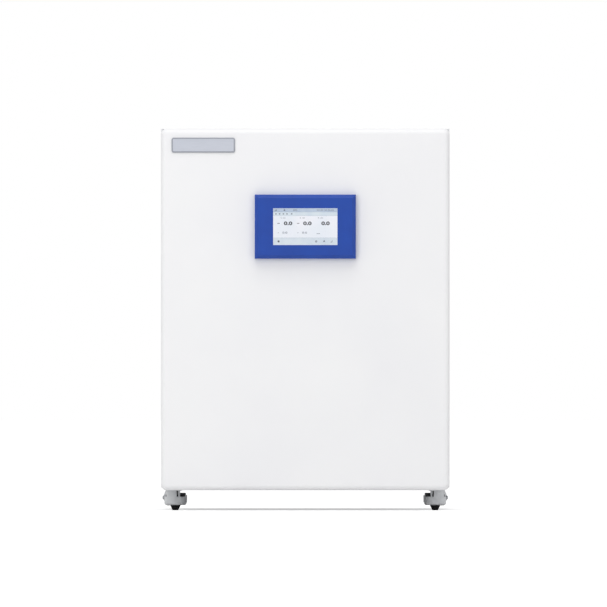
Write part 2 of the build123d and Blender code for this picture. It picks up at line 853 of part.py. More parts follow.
# Outer door
gasket_outer = half_width - gasket_inset
gasket_top = overall_height - gasket_inset
gasket_bottom = door_bottom + gasket_inset
notch_x = (-half_width - 1, hinge_x + hinge_block_side)
notch_y = (hinge_y - hinge_block_front, door_back + 1)
top_notch_z = (overall_height - hinge_notch, overall_height + 1)
bottom_notch_z = (door_bottom - 1, door_bottom + hinge_notch)
grip_x = (half_width - grip_width, half_width + 1)
grip_y = (door_back - grip_reach, door_back + 1)
grip_z = (grip_middle - grip_length / 2, grip_middle + grip_length / 2)


def cut_door_pockets():
    """Open the two hinge corners and the finger grip."""
    block(notch_x, notch_y, top_notch_z, Mode.SUBTRACT)
    block(notch_x, notch_y, bottom_notch_z, Mode.SUBTRACT)
    block(grip_x, grip_y, grip_z, Mode.SUBTRACT)


with BuildPart() as door_shell:
    with BuildSketch(facing_front(door_back)):
        with Locations((0, door_middle)):
            RectangleRounded(overall_width, door_height, door_corner)
    extrude(amount=door_thickness)
    fillet(door_shell.faces().sort_by(Axis.Y)[0].edges(), door_edge)
    offset(amount=-door_skin, openings=door_shell.faces().sort_by(Axis.Y)[-1])
    cut_door_pockets()
save(door_shell, "door_shell")

block_depth_y = (notch_y[0] - 1, door_back - door_liner_sheet)
block_x = (hinge_x - hinge_block_outside, notch_x[1] + 4)
top_block_z = (top_notch_z[0] - hinge_block, top_notch_z[0])
bottom_block_z = (bottom_notch_z[1], bottom_notch_z[1] + hinge_block)
with BuildPart() as hinge_bushes:
    block(block_x, block_depth_y, top_block_z)
    block(block_x, block_depth_y, bottom_block_z)
    bore = hinge_pin_radius + pin_clearance
    rod(bore, top_block_z[0] - 1, top_block_z[1] + 1, "Z", (hinge_x, hinge_y), Mode.SUBTRACT)
    rod(bore, bottom_block_z[0] - 1, bottom_block_z[1] + 1, "Z", (hinge_x, hinge_y), Mode.SUBTRACT)
save(hinge_bushes, "hinge_bushes")

foam_inset = door_skin + seat_gap
with BuildPart() as door_foam:
    with BuildSketch(facing_front(door_back - door_liner_sheet - seat_gap)):
        with Locations((0, door_middle)):
            RectangleRounded(
                overall_width - 2 * foam_inset,
                door_height - 2 * foam_inset,
                door_corner - foam_inset,
            )
    extrude(amount=door_thickness - door_liner_sheet - seat_gap - foam_inset)
    fillet(door_foam.faces().sort_by(Axis.Y)[0].edges(), door_edge - foam_inset)
    cut_door_pockets()
    block(
        (notch_x[0], block_x[1] + seat_gap),
        (block_depth_y[0] - seat_gap, door_back),
        (top_block_z[0] - seat_gap, overall_height),
        Mode.SUBTRACT,
    )
    block(
        (notch_x[0], block_x[1] + seat_gap),
        (block_depth_y[0] - seat_gap, door_back),
        (door_bottom, bottom_block_z[1] + seat_gap),
        Mode.SUBTRACT,
    )
    block(
        (grip_x[0] - grip_wall - seat_gap, half_width),
        (grip_y[0] - grip_wall - seat_gap, door_back),
        (grip_z[0] - grip_wall - seat_gap, grip_z[1] + grip_wall + seat_gap),
        Mode.SUBTRACT,
    )
save(door_foam, "door_foam")

with BuildPart() as door_liner:
    with BuildSketch(facing_front(door_back)):
        with Locations((0, door_middle)):
            RectangleRounded(
                overall_width - 2 * foam_inset,
                door_height - 2 * foam_inset,
                door_corner - foam_inset,
            )
    extrude(amount=door_liner_sheet)
    rise_half = half_width - gasket_inset - gasket_width - liner_margin
    rise_height = door_height - 2 * (gasket_inset + gasket_width + liner_margin)
    for depth, inset, mode in ((liner_rise, 0, Mode.ADD), (liner_rise - door_liner_sheet, 2, Mode.SUBTRACT)):
        with BuildSketch(facing_front(door_back - door_liner_sheet)):
            with Locations((0, door_middle)):
                Rectangle(2 * (rise_half - inset), rise_height - 2 * inset)
        extrude(amount=-depth - door_liner_sheet, taper=35, mode=mode)
    cut_door_pockets()
save(door_liner, "door_liner")

with BuildPart() as grip_cup:
    block(
        (grip_x[0] - grip_wall, half_width - door_skin - seat_gap),
        (grip_y[0] - grip_wall, door_back - door_liner_sheet - seat_gap),
        (grip_z[0] - grip_wall, grip_z[1] + grip_wall),
    )
    block(grip_x, grip_y, grip_z, Mode.SUBTRACT)
save(grip_cup, "grip_cup")

with BuildPart() as door_gasket:
    with BuildSketch(facing_front(front - seat_gap)):
        with Locations((0, door_middle)):
            RectangleRounded(2 * gasket_outer, gasket_top - gasket_bottom, 10)
            RectangleRounded(
                2 * (gasket_outer - gasket_width),
                gasket_top - gasket_bottom - 2 * gasket_width,
                4,
                mode=Mode.SUBTRACT,
            )
    extrude(amount=door_gap - seat_gap)
    chamfer(door_gasket.faces().sort_by(Axis.Y)[-1].edges(), 3)
save(door_gasket, "door_gasket")

# Hinge brackets of the outer door, with their pins
with BuildPart() as door_hinge_brackets:
    for level, pin_end in (
        (top_inside - hinge_plate, top_inside - hinge_plate - hinge_pin_length),
        (skirt_bottom - hinge_plate, skirt_bottom + hinge_pin_length),
    ):
        with BuildSketch(Plane.XY.offset(level)):
            with Locations((hinge_x, hinge_y)):
                Circle(hinge_plate_half)
            with Locations((hinge_x, (hinge_y + front + hinge_plate_seat) / 2)):
                Rectangle(2 * hinge_plate_half, front + hinge_plate_seat - hinge_y)
        extrude(amount=hinge_plate)
        rod(hinge_pin_radius, *sorted((level, pin_end)), "Z", (hinge_x, hinge_y))
save(door_hinge_brackets, "door_hinge_brackets")

# Control module on the door front
bezel_front = door_front - bezel_depth
with BuildPart() as control_bezel:
    block(
        (-bezel_width / 2, bezel_width / 2),
        (bezel_front, door_front),
        (bezel_level - bezel_height / 2, bezel_level + bezel_height / 2),
    )
    chamfer(control_bezel.faces().sort_by(Axis.Y)[0].edges(), bezel_chamfer)
    offset(
        amount=-bezel_wall,
        openings=control_bezel.faces().sort_by(Axis.Y)[-1],
        kind=Kind.INTERSECTION,
    )
    with BuildSketch(facing_front(bezel_front)):
        with Locations((0, bezel_level)):
            Rectangle(window_width, window_height)
    extrude(amount=-2 * bezel_wall, mode=Mode.SUBTRACT)
save(control_bezel, "control_bezel")

glass_front = bezel_front + bezel_wall
screen_x = (-window_width / 2 - screen_margin, window_width / 2 + screen_margin)
screen_z = (
    bezel_level - window_height / 2 - screen_margin,
    bezel_level + window_height / 2 + screen_margin,
)
with BuildPart() as touch_glass:
    block(screen_x, (glass_front, glass_front + screen_glass), screen_z)
save(touch_glass, "touch_glass")

with BuildPart() as display_module:
    display_start = glass_front + screen_glass + screen_gap
    display_y = (display_start, display_start + display_thickness)
    block(screen_x, display_y, screen_z)
    block(
        (screen_x[0] + 20, screen_x[1] - 20),
        (display_y[1], door_front),
        (bezel_level - 20, bezel_level + 20),
    )
save(display_module, "display_module")

# Blank nameplate with a raised rim
with BuildPart() as nameplate:
    plate_centre = (plate_left + plate_width / 2, plate_top - plate_height / 2)
    with BuildSketch(facing_front(door_front)):
        with Locations(plate_centre):
            RectangleRounded(plate_width, plate_height, plate_corner)
    extrude(amount=plate_thickness)
    chamfer(nameplate.faces().sort_by(Axis.Y)[0].edges(), 0.8)
    with BuildSketch(facing_front(door_front - plate_thickness)):
        with Locations(plate_centre):
            RectangleRounded(
                plate_width - 2 * plate_rim, plate_height - 2 * plate_rim, plate_corner - plate_rim
            )
    extrude(amount=-0.7, mode=Mode.SUBTRACT)
save(nameplate, "nameplate")

# Inner glass door
trim_y = (front + inner_trim_front, front + inner_trim_front + inner_trim_depth)
glass_y = (trim_y[0] + 2, trim_y[0] + 2 + glass_thickness)
glass_inset = inner_trim_width - glass_groove
with BuildPart() as inner_glass:
    block(
        (-inner_half + glass_inset + seat_gap, inner_half - glass_inset - seat_gap),
        glass_y,
        (inner_bottom + glass_inset + seat_gap, inner_top - glass_inset - seat_gap),
    )
    rod(4, *glass_y, "Y", (latch_x, latch_level), Mode.SUBTRACT)
save(inner_glass, "inner_glass")

with BuildPart() as inner_door_trim:
    with BuildSketch(facing_front(trim_y[1])):
        with Locations((0, chamber_middle)):
            RectangleRounded(2 * inner_half, inner_top - inner_bottom, 14)
            RectangleRounded(
                2 * (inner_half - inner_trim_width),
                inner_top - inner_bottom - 2 * inner_trim_width,
                6,
                mode=Mode.SUBTRACT,
            )
    extrude(amount=inner_trim_depth)
    block(
        (-inner_half + glass_inset, inner_half - glass_inset),
        glass_y,
        (inner_bottom + glass_inset, inner_top - glass_inset),
        Mode.SUBTRACT,
    )
    for level in inner_hinge_levels:
        knuckle_z = (level - inner_knuckle_half, level + inner_knuckle_half)
        leaf_end = -inner_half + inner_leaf_width
        rod(inner_knuckle, *knuckle_z, "Z", (inner_hinge_x, inner_hinge_y))
        block((inner_hinge_x, leaf_end), (trim_y[0] - inner_leaf - 2, trim_y[0]), knuckle_z)
        rod(
            inner_pin + pin_clearance,
            *knuckle_z,
            "Z",
            (inner_hinge_x, inner_hinge_y),
            Mode.SUBTRACT,
        )
    rod(3 + pin_clearance, trim_y[0] - 1, trim_y[1] + 1, "Y", (latch_x, latch_level), Mode.SUBTRACT)
save(inner_door_trim, "inner_door_trim")

with BuildPart() as inner_door_gasket:
    seal_half = chamber_half + seal_inset + seal_width
    seal_height = chamber_height + 2 * (seal_inset + seal_width)
    with BuildSketch(facing_front(chamber_front - seat_gap)):
        with Locations((0, chamber_middle)):
            RectangleRounded(2 * seal_half, seal_height, 16)
            RectangleRounded(
                2 * (seal_half - seal_width), seal_height - 2 * seal_width, 8, mode=Mode.SUBTRACT
            )
    extrude(amount=chamber_front - seat_gap - trim_y[1])
save(inner_door_gasket, "inner_door_gasket")

with BuildPart() as inner_hinge_brackets:
    for level in inner_hinge_levels:
        ear_inside = inner_knuckle_half + seat_gap
        ear_outside = ear_inside + inner_ear
        for ear in ((level - ear_outside, level - ear_inside), (level + ear_inside, level + ear_outside)):
            rod(inner_knuckle, *ear, "Z", (inner_hinge_x, inner_hinge_y))
            block((-recess_half, inner_hinge_x), (inner_hinge_y - 3, inner_hinge_y + 3), ear)
        rod(inner_pin, level - ear_outside, level + ear_outside, "Z", (inner_hinge_x, inner_hinge_y))
save(inner_hinge_brackets, "inner_hinge_brackets")

# Latch: a lever in front of the inner door, with a tongue that turns behind the keeper
tongue_y = (trim_y[0] - 4.5, trim_y[0] - seat_gap)
with BuildPart() as latch_handle:
    rod(3, tongue_y[0], trim_y[1] - 1, "Y", (latch_x, latch_level))
    with BuildSketch(facing_front(tongue_y[1])):
        with Locations((latch_x, latch_level)):
            Circle(6)
        with Locations((latch_x, latch_level + latch_tongue / 2)):
            Rectangle(9, latch_tongue)
    extrude(amount=tongue_y[1] - tongue_y[0])
    rod(5, tongue_y[0] - 6, tongue_y[0], "Y", (latch_x, latch_level))
    with BuildSketch(facing_front(tongue_y[0] - 6)):
        with Locations((latch_x, latch_level - latch_handle_length / 2 + 8)):
            SlotOverall(latch_handle_length, 16, rotation=90)
    extrude(amount=7)
    chamfer(latch_handle.faces().sort_by(Axis.Y)[0].edges(), 2)
save(latch_handle, "latch_handle")

with BuildPart() as latch_keeper:
    keeper_z = (latch_level - 12, latch_level + 12)
    keeper_front = (tongue_y[0] - 3.3, tongue_y[0] - seat_gap)
    block((recess_half - keeper_reach, recess_half), keeper_front, keeper_z)
    block((recess_half - 1.2, recess_half), (keeper_front[0], tongue_y[1]), keeper_z)
save(latch_keeper, "latch_keeper")

# Levelling casters: the feet point inward and the wheels outward on either side
wheel_level = wheel_lift + wheel_radius
caster_x = half_width - caster_side
caster_y = {"front": front + caster_front_inset, "rear": back - caster_rear_inset}
casters = {
    f"{side}_{end}": (hand, Location((hand * caster_x, caster_y[end], 0), (0, 0, hand * -turn - 90)))
    for side, hand in (("left", -1), ("right", 1))
    for end, turn in (("front", front_turn), ("rear", rear_turn))
}

# Mounting plates under the base pan, each with its kingpin
kingpin_end = stem_top + stem_travel + kingpin_over_stem
with BuildPart() as caster_plates:
    for hand, place in casters.values():
        spot = (place.position.X, place.position.Y)
        with BuildSketch(Plane.XY.offset(base_level)):
            with Locations(spot):
                Rectangle(mount_size, mount_size)
                with GridLocations(mount_hole_spacing, mount_hole_spacing, 2, 2):
                    Circle(mount_hole_radius, mode=Mode.SUBTRACT)
        extrude(amount=-mount_sheet)
        rod(head_radius - 2, head_top + seat_gap, base_level - mount_sheet, "Z", spot)
        rod(kingpin_radius, kingpin_end, base_level - mount_sheet, "Z", spot)
    chamfer(caster_plates.edges().filter_by(Axis.Z).group_by(SortBy.LENGTH)[0], 4)
save(caster_plates, "caster_plates")

cheek_inside = wheel_width / 2 + cheek_gap
cheek_outside = cheek_inside + cheek_sheet
dial_z = (body_top + seat_gap, body_top + seat_gap + dial_thickness)
shroud_inside = body_radius - shroud_wall


def ring_sector(inside, outside, start, sweep_angle):
    """A face between two radii about the stem, over part of a turn."""
    stem = (stem_offset, 0)
    with BuildSketch(mode=Mode.PRIVATE) as sector:
        with BuildLine():
            rim = CenterArc(stem, outside, start, sweep_angle)
            bore_side = CenterArc(stem, inside, start, sweep_angle)
            Line(rim @ 0, bore_side @ 0)
            Line(rim @ 1, bore_side @ 1)
        make_face()
    return sector.sketch


for corner, (hand, place) in casters.items():
    # Housing in its own frame: the foot is towards +X and the wheel towards -X
    with BuildPart() as caster_housing:
        with BuildSketch(Plane.XY.offset(body_bottom)):
            with Locations((stem_offset, 0)):
                Circle(body_radius)
            with Locations((-wheel_trail / 2, 0)):
                Rectangle(wheel_trail, 2 * cheek_outside)
            make_hull()
        extrude(amount=body_top - body_bottom)
        chamfer(caster_housing.faces().sort_by(Axis.Z)[0].edges(), body_bevel)
        with BuildSketch(Plane.XY.offset(body_top - body_bevel)):
            add(ring_sector(shroud_inside, body_radius, hand * shroud_start, hand * shroud_sweep))
            add(ring_sector(shroud_inside, body_radius, hand * post_start, hand * post_sweep))
        extrude(amount=head_bottom - body_top + body_bevel)
        with BuildSketch(Plane.XY.offset(deck_bottom)):
            Circle(head_radius)
            deck_sweep = shroud_start + shroud_sweep - post_start
            add(ring_sector(stem_radius + 1, body_radius, hand * post_start, hand * deck_sweep))
        extrude(amount=head_bottom - deck_bottom)
        with BuildSketch(Plane.XY.offset(head_bottom)):
            Circle(head_radius)
        extrude(amount=head_top - head_bottom)
        for side in (-1, 1):
            with BuildSketch(Plane.XZ.offset(-side * cheek_inside)):
                with Locations((-wheel_trail, wheel_level)):
                    Circle(axle_boss)
                with Locations((-(head_radius + axle_boss) / 2, (body_top + head_bottom) / 2)):
                    Rectangle(axle_boss, head_bottom - body_top)
                make_hull()
            extrude(amount=-side * cheek_sheet)
        block(
            (-2 * wheel_trail, wheel_radius + well_gap - wheel_trail),
            (-cheek_inside, cheek_inside),
            (0, deck_bottom),
            Mode.SUBTRACT,
        )
        block(
            (-2 * wheel_trail, -wheel_trail),
            (-body_radius, body_radius),
            (0, wheel_level - axle_boss),
            Mode.SUBTRACT,
        )
        cup_depth = (0, body_top - body_wall)
        rod(body_radius - body_wall, *cup_depth, "Z", (stem_offset, 0), Mode.SUBTRACT)
        rod(shroud_inside, body_top, deck_bottom, "Z", (stem_offset, 0), Mode.SUBTRACT)
        rod(axle_radius, -cheek_outside, cheek_outside, "Y", (-wheel_trail, wheel_level))
        rod(kingpin_radius + pin_clearance, head_bottom, head_top, "Z", (0, 0), Mode.SUBTRACT)
        stem_bore = stem_radius + seat_gap
        stem_room = stem_top + stem_travel + seat_gap
        rod(stem_bore, body_bottom, stem_room, "Z", (stem_offset, 0), Mode.SUBTRACT)
    save(caster_housing, f"{corner}_caster_housing", place)

    with BuildPart() as caster_wheel:
        rod(wheel_radius, -wheel_width / 2, wheel_width / 2, "Y", (-wheel_trail, wheel_level))
        chamfer(caster_wheel.edges().filter_by(GeomType.CIRCLE), tread_chamfer)
        rod(
            axle_radius + pin_clearance,
            -wheel_width / 2,
            wheel_width / 2,
            "Y",
            (-wheel_trail, wheel_level),
            Mode.SUBTRACT,
        )
    save(caster_wheel, f"{corner}_caster_wheel", place)

    # Dial: a thumb wheel with grip notches and a hub that bears on the deck
    with BuildPart() as levelling_dial:
        with BuildSketch(Plane.XY.offset(dial_z[0])):
            with Locations((stem_offset, 0)):
                RegularPolygon(dial_radius, 2 * dial_teeth)
                with PolarLocations(dial_radius - 0.6, dial_teeth):
                    Rectangle(3, 2.6, mode=Mode.SUBTRACT)
        extrude(amount=dial_thickness)
        rod(dial_hub, dial_z[0], deck_bottom - seat_gap, "Z", (stem_offset, 0))
        dial_bore = stem_radius + pin_clearance
        rod(dial_bore, dial_z[0], deck_bottom, "Z", (stem_offset, 0), Mode.SUBTRACT)
    save(levelling_dial, f"{corner}_levelling_dial", place)

    # Foot pad: a rubber cone on a threaded stem
    with BuildPart() as foot_pad:
        with BuildSketch(Plane.XZ):
            with BuildLine():
                Polyline(
                    (stem_offset, 0),
                    (stem_offset + pad_foot_radius, 0),
                    (stem_offset + pad_radius, pad_height),
                    (stem_offset + pad_radius, pad_height + pad_rim),
                    (stem_offset + stem_radius, pad_height + pad_rim),
                    (stem_offset + stem_radius, stem_top),
                    (stem_offset, stem_top),
                    close=True,
                )
            make_face()
        revolve(axis=Axis((stem_offset, 0, 0), (0, 0, 1)))
    save(foot_pad, f"{corner}_foot_pad", place)
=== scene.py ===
import json
import math

import bmesh
import bpy
from mathutils import Matrix, Vector


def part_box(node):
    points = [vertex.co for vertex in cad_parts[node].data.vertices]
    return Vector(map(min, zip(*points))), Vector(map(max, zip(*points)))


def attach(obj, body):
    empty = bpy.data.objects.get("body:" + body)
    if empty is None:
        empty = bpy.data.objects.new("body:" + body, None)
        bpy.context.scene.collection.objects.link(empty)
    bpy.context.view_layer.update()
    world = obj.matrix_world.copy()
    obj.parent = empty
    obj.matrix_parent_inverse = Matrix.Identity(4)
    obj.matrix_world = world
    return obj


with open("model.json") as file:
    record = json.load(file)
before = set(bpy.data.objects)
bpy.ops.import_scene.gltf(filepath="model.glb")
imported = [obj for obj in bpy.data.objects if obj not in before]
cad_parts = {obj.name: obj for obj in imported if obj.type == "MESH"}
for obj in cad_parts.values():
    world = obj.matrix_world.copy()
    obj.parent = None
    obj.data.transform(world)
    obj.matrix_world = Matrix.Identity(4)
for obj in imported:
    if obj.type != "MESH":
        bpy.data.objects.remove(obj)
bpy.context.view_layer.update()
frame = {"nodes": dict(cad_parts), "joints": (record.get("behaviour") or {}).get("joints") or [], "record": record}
nodes = frame["nodes"]

# The photograph: how its frame lies on the door's front plane, in metres; PIXEL is one pixel's width there
PHOTO_PIXELS = 607
PIXEL = 0.0023556
PHOTO_SPAN = PHOTO_PIXELS * PIXEL
PHOTO_CENTRE_X = -0.0042
PHOTO_CENTRE_Z = 0.488
CAMERA_DISTANCE = 60.0

# Places that the pieces share, in metres
DOOR_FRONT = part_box("door_shell")[0][1]
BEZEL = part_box("control_bezel")
BEZEL_Z = (BEZEL[0][2] + BEZEL[1][2]) / 2
DISPLAY_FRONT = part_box("display_module")[0][1]
BACK_SHEET = 0.0012
BACK_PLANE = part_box("side_panels")[1][1] + BACK_SHEET
MM = 0.001


def tint(red, green, blue, alpha=1.0):
    """A colour written as it shows on a screen, from 0 to 255, turned to linear light."""
    linear = []
    for part in (red, green, blue):
        part /= 255
        linear.append(part / 12.92 if part <= 0.04045 else ((part + 0.055) / 1.055) ** 2.4)
    return (*linear, alpha)


# Finishes

# Places of the colour sockets on a mix node
COLOUR_A = 6
COLOUR_B = 7
COLOUR_RESULT = 2
WAVE_PERIOD = 0.314


class Finish:
    """One material being made: each call adds nodes and returns the socket they end in."""

    def __init__(self, name, **sockets):
        self.material = bpy.data.materials.new(name)
        self.material.use_nodes = True
        self.tree = self.material.node_tree
        self.shader = self.tree.nodes["Principled BSDF"]
        self.place = self.tree.nodes.new("ShaderNodeTexCoord").outputs["Object"]
        for socket, value in sockets.items():
            self.shader.inputs[socket.replace("_", " ")].default_value = value

    def join(self, start, end):
        self.tree.links.new(start, end)

    def stretched(self, stretch):
        """Object coordinates stretched along the axes."""
        mapping = self.tree.nodes.new("ShaderNodeMapping")
        mapping.inputs["Scale"].default_value = stretch
        self.join(self.place, mapping.inputs["Vector"])
        return mapping.outputs["Vector"]

    def noise(self, grain, stretch=(1, 1, 1), detail=3.0, rough=0.5):
        """Cloudy pattern whose features are about `grain` metres across."""
        texture = self.tree.nodes.new("ShaderNodeTexNoise")
        texture.inputs["Scale"].default_value = 1 / grain
        texture.inputs["Detail"].default_value = detail
        texture.inputs["Roughness"].default_value = rough
        self.join(self.stretched(stretch), texture.inputs["Vector"])
        return texture.outputs["Fac"]

    def cells(self, grain, stretch=(1, 1, 1), feature="F1", output="Distance"):
        """Cell pattern whose cells are about `grain` metres across."""
        texture = self.tree.nodes.new("ShaderNodeTexVoronoi")
        texture.feature = feature
        texture.inputs["Scale"].default_value = 1 / grain
        self.join(self.stretched(stretch), texture.inputs["Vector"])
        return texture.outputs[output]

    def stripes(self, pitch, axis, bend=0.0):
        """Soft stripes across one axis, `pitch` metres apart."""
        texture = self.tree.nodes.new("ShaderNodeTexWave")
        texture.bands_direction = axis
        texture.inputs["Scale"].default_value = WAVE_PERIOD / pitch
        texture.inputs["Distortion"].default_value = bend
        self.join(self.place, texture.inputs["Vector"])
        return texture.outputs["Fac"]

    def level(self, value, low, high, start=0.0, end=1.0):
        """A value taken from start..end to low..high."""
        spread = self.tree.nodes.new("ShaderNodeMapRange")
        spread.inputs["From Min"].default_value = start
        spread.inputs["From Max"].default_value = end
        spread.inputs["To Min"].default_value = low
        spread.inputs["To Max"].default_value = high
        self.join(value, spread.inputs["Value"])
        return spread.outputs["Result"]

    def blend(self, value, first, second, start=0.3, end=0.7):
        """A colour between two others; either may be a colour or a socket."""
        mix = self.tree.nodes.new("ShaderNodeMix")
        mix.data_type = "RGBA"
        self.join(self.level(value, 0.0, 1.0, start, end), mix.inputs["Factor"])
        for socket, colour in ((COLOUR_A, first), (COLOUR_B, second)):
            if isinstance(colour, tuple):
                mix.inputs[socket].default_value = colour
            else:
                self.join(colour, mix.inputs[socket])
        return mix.outputs[COLOUR_RESULT]

    def colour(self, socket):
        self.join(socket, self.shader.inputs["Base Color"])

    def roughness(self, value, low, high):
        self.join(self.level(value, low, high), self.shader.inputs["Roughness"])

    def relief(self, value, depth, strength=1.0, over=None):
        """Bump from a value, `depth` metres high, over an earlier bump."""
        bump = self.tree.nodes.new("ShaderNodeBump")
        bump.inputs["Strength"].default_value = strength
        bump.inputs["Distance"].default_value = depth
        self.join(value, bump.inputs["Height"])
        if over is not None:
            self.join(over, bump.inputs["Normal"])
        self.join(bump.outputs["Normal"], self.shader.inputs["Normal"])
        return bump.outputs["Normal"]


def powder_coat(name, pale, dull, orange_peel=0.5):
    """Baked powder paint: a fine orange-peel skin and a slow drift of tone."""
    coat = Finish(name, IOR=1.5, Specular_IOR_Level=0.45)
    coat.colour(coat.blend(coat.noise(0.21, detail=2.0), dull, pale))
    coat.roughness(coat.noise(0.012), 0.36, 0.46)
    peel = coat.relief(coat.noise(0.0016, detail=2.0), 0.00006, orange_peel)
    coat.relief(coat.noise(0.03, detail=1.0), 0.00012, 0.25, over=peel)
    return coat.material


def moulded(name, pale, dull, sheen=(0.38, 0.5), grain=0.0006, depth=0.00004):
    """Moulded plastic with a fine spark-eroded texture."""
    plastic = Finish(name, IOR=1.48, Specular_IOR_Level=0.5)
    plastic.colour(plastic.blend(plastic.noise(0.05, detail=4.0), dull, pale))
    plastic.roughness(plastic.noise(0.006), *sheen)
    plastic.relief(plastic.noise(grain, detail=2.0), depth, 0.6)
    return plastic.material


def brushed(name, pale, dull, along, sheen=(0.26, 0.4), line=0.0004):
    """Metal brushed along one axis, with long fine scratches and a faint tone from the rolls."""
    metal = Finish(name, Metallic=1.0, IOR=2.6)
    stretch = tuple(0.012 if axis == along else 1.0 for axis in "XYZ")
    scratch = metal.noise(line, stretch, detail=3.0, rough=0.6)
    drift = metal.noise(0.12, detail=2.0)
    metal.colour(metal.blend(scratch, dull, metal.blend(drift, pale, dull, 0.2, 1.4)))
    metal.roughness(scratch, *sheen)
    metal.relief(scratch, 0.00002, 0.5)
    return metal.material


def zinc_plated(name):
    """Galvanised steel with pale and dark crystals."""
    zinc = Finish(name, Metallic=0.9, IOR=2.0)
    crystal = zinc.cells(0.009, output="Color")
    split = zinc.tree.nodes.new("ShaderNodeSeparateColor")
    zinc.join(crystal, split.inputs["Color"])
    zinc.colour(zinc.blend(split.outputs["Red"], tint(150, 153, 158), tint(190, 193, 197), 0.0, 1.0))
    zinc.roughness(split.outputs["Green"], 0.3, 0.52)
    zinc.relief(zinc.noise(0.0012), 0.00003, 0.4)
    return zinc.material


def cast_alloy(name, pale, dull):
    """Die-cast alloy: a bead-blasted skin with a random drift of tone and sheen."""
    alloy = Finish(name, Metallic=0.2, IOR=1.6)
    alloy.colour(alloy.blend(alloy.noise(0.014, detail=5.0), dull, pale))
    alloy.roughness(alloy.noise(0.004), 0.38, 0.55)
    alloy.relief(alloy.noise(0.0007, detail=2.0), 0.00008, 0.6)
    return alloy.material


def soft_rubber(name, pale, dull, sheen=(0.6, 0.8), grain=0.0011):
    """Rubber or silicone with a dry, slightly mottled skin."""
    rubber = Finish(name, IOR=1.42, Specular_IOR_Level=0.35)
    rubber.colour(rubber.blend(rubber.noise(0.018, detail=5.0), dull, pale))
    rubber.roughness(rubber.noise(0.005), *sheen)
    rubber.relief(rubber.noise(grain, detail=3.0), 0.00008, 0.5)
    return rubber.material


def foam_board(name):
    """Mineral insulation: a matted, fibrous surface."""
    board = Finish(name, IOR=1.3, Specular_IOR_Level=0.1)
    fibre = board.noise(0.004, (1, 0.25, 1), detail=6.0, rough=0.7)
    board.colour(board.blend(fibre, tint(196, 183, 142), tint(232, 222, 186)))
    board.roughness(fibre, 0.85, 0.98)
    board.relief(fibre, 0.0006, 0.8)
    return board.material


def heating_foil(name):
    """Amber film with darker conductor tracks."""
    foil = Finish(name, IOR=1.6, Specular_IOR_Level=0.5)
    track = foil.stripes(0.008, "Y")
    foil.colour(foil.blend(track, tint(120, 62, 18), tint(202, 128, 44), 0.42, 0.5))
    foil.roughness(foil.noise(0.02), 0.28, 0.42)
    foil.relief(track, 0.00012, 0.6)
    return foil.material


def printed_board(name):
    """Solder-resist green over copper tracks."""
    board = Finish(name, IOR=1.5, Specular_IOR_Level=0.5)
    track = board.cells(0.006, (1, 1, 0.35), feature="DISTANCE_TO_EDGE")
    board.colour(board.blend(track, tint(74, 138, 82), tint(14, 78, 44), 0.02, 0.08))
    board.roughness(board.noise(0.01), 0.32, 0.46)
    board.relief(track, 0.00005, 0.5)
    return board.material


def plain_brass(name):
    """Turned brass with fine tool marks and a little tarnish."""
    brass = Finish(name, Metallic=1.0, IOR=2.4)
    tarnish = brass.noise(0.007, detail=6.0)
    brass.colour(brass.blend(tarnish, tint(146, 112, 58), tint(205, 170, 96)))
    brass.roughness(tarnish, 0.24, 0.42)
    brass.relief(brass.stripes(0.0007, "Y"), 0.00002, 0.4)
    return brass.material


def window_glass(name, body, sheen=0.02):
    """Clear glass with a faint body colour and very slight smears."""
    glass = Finish(name, Transmission_Weight=1.0, IOR=1.46)
    smear = glass.noise(0.06, detail=4.0)
    glass.colour(glass.blend(smear, body, tint(255, 255, 255), 0.1, 0.9))
    glass.roughness(smear, sheen, sheen + 0.03)
    return glass.material


def lit_panel(name, low, high, glow, drift=0.05):
    """A part of the screen's picture: a back-lit colour with a slow drift."""
    lit = Finish(name, Roughness=0.5, Base_Color=tint(12, 14, 18), Emission_Strength=glow)
    shade = lit.blend(lit.noise(drift, detail=1.0), low, high)
    lit.join(shade, lit.shader.inputs["Emission Color"])
    return lit.material


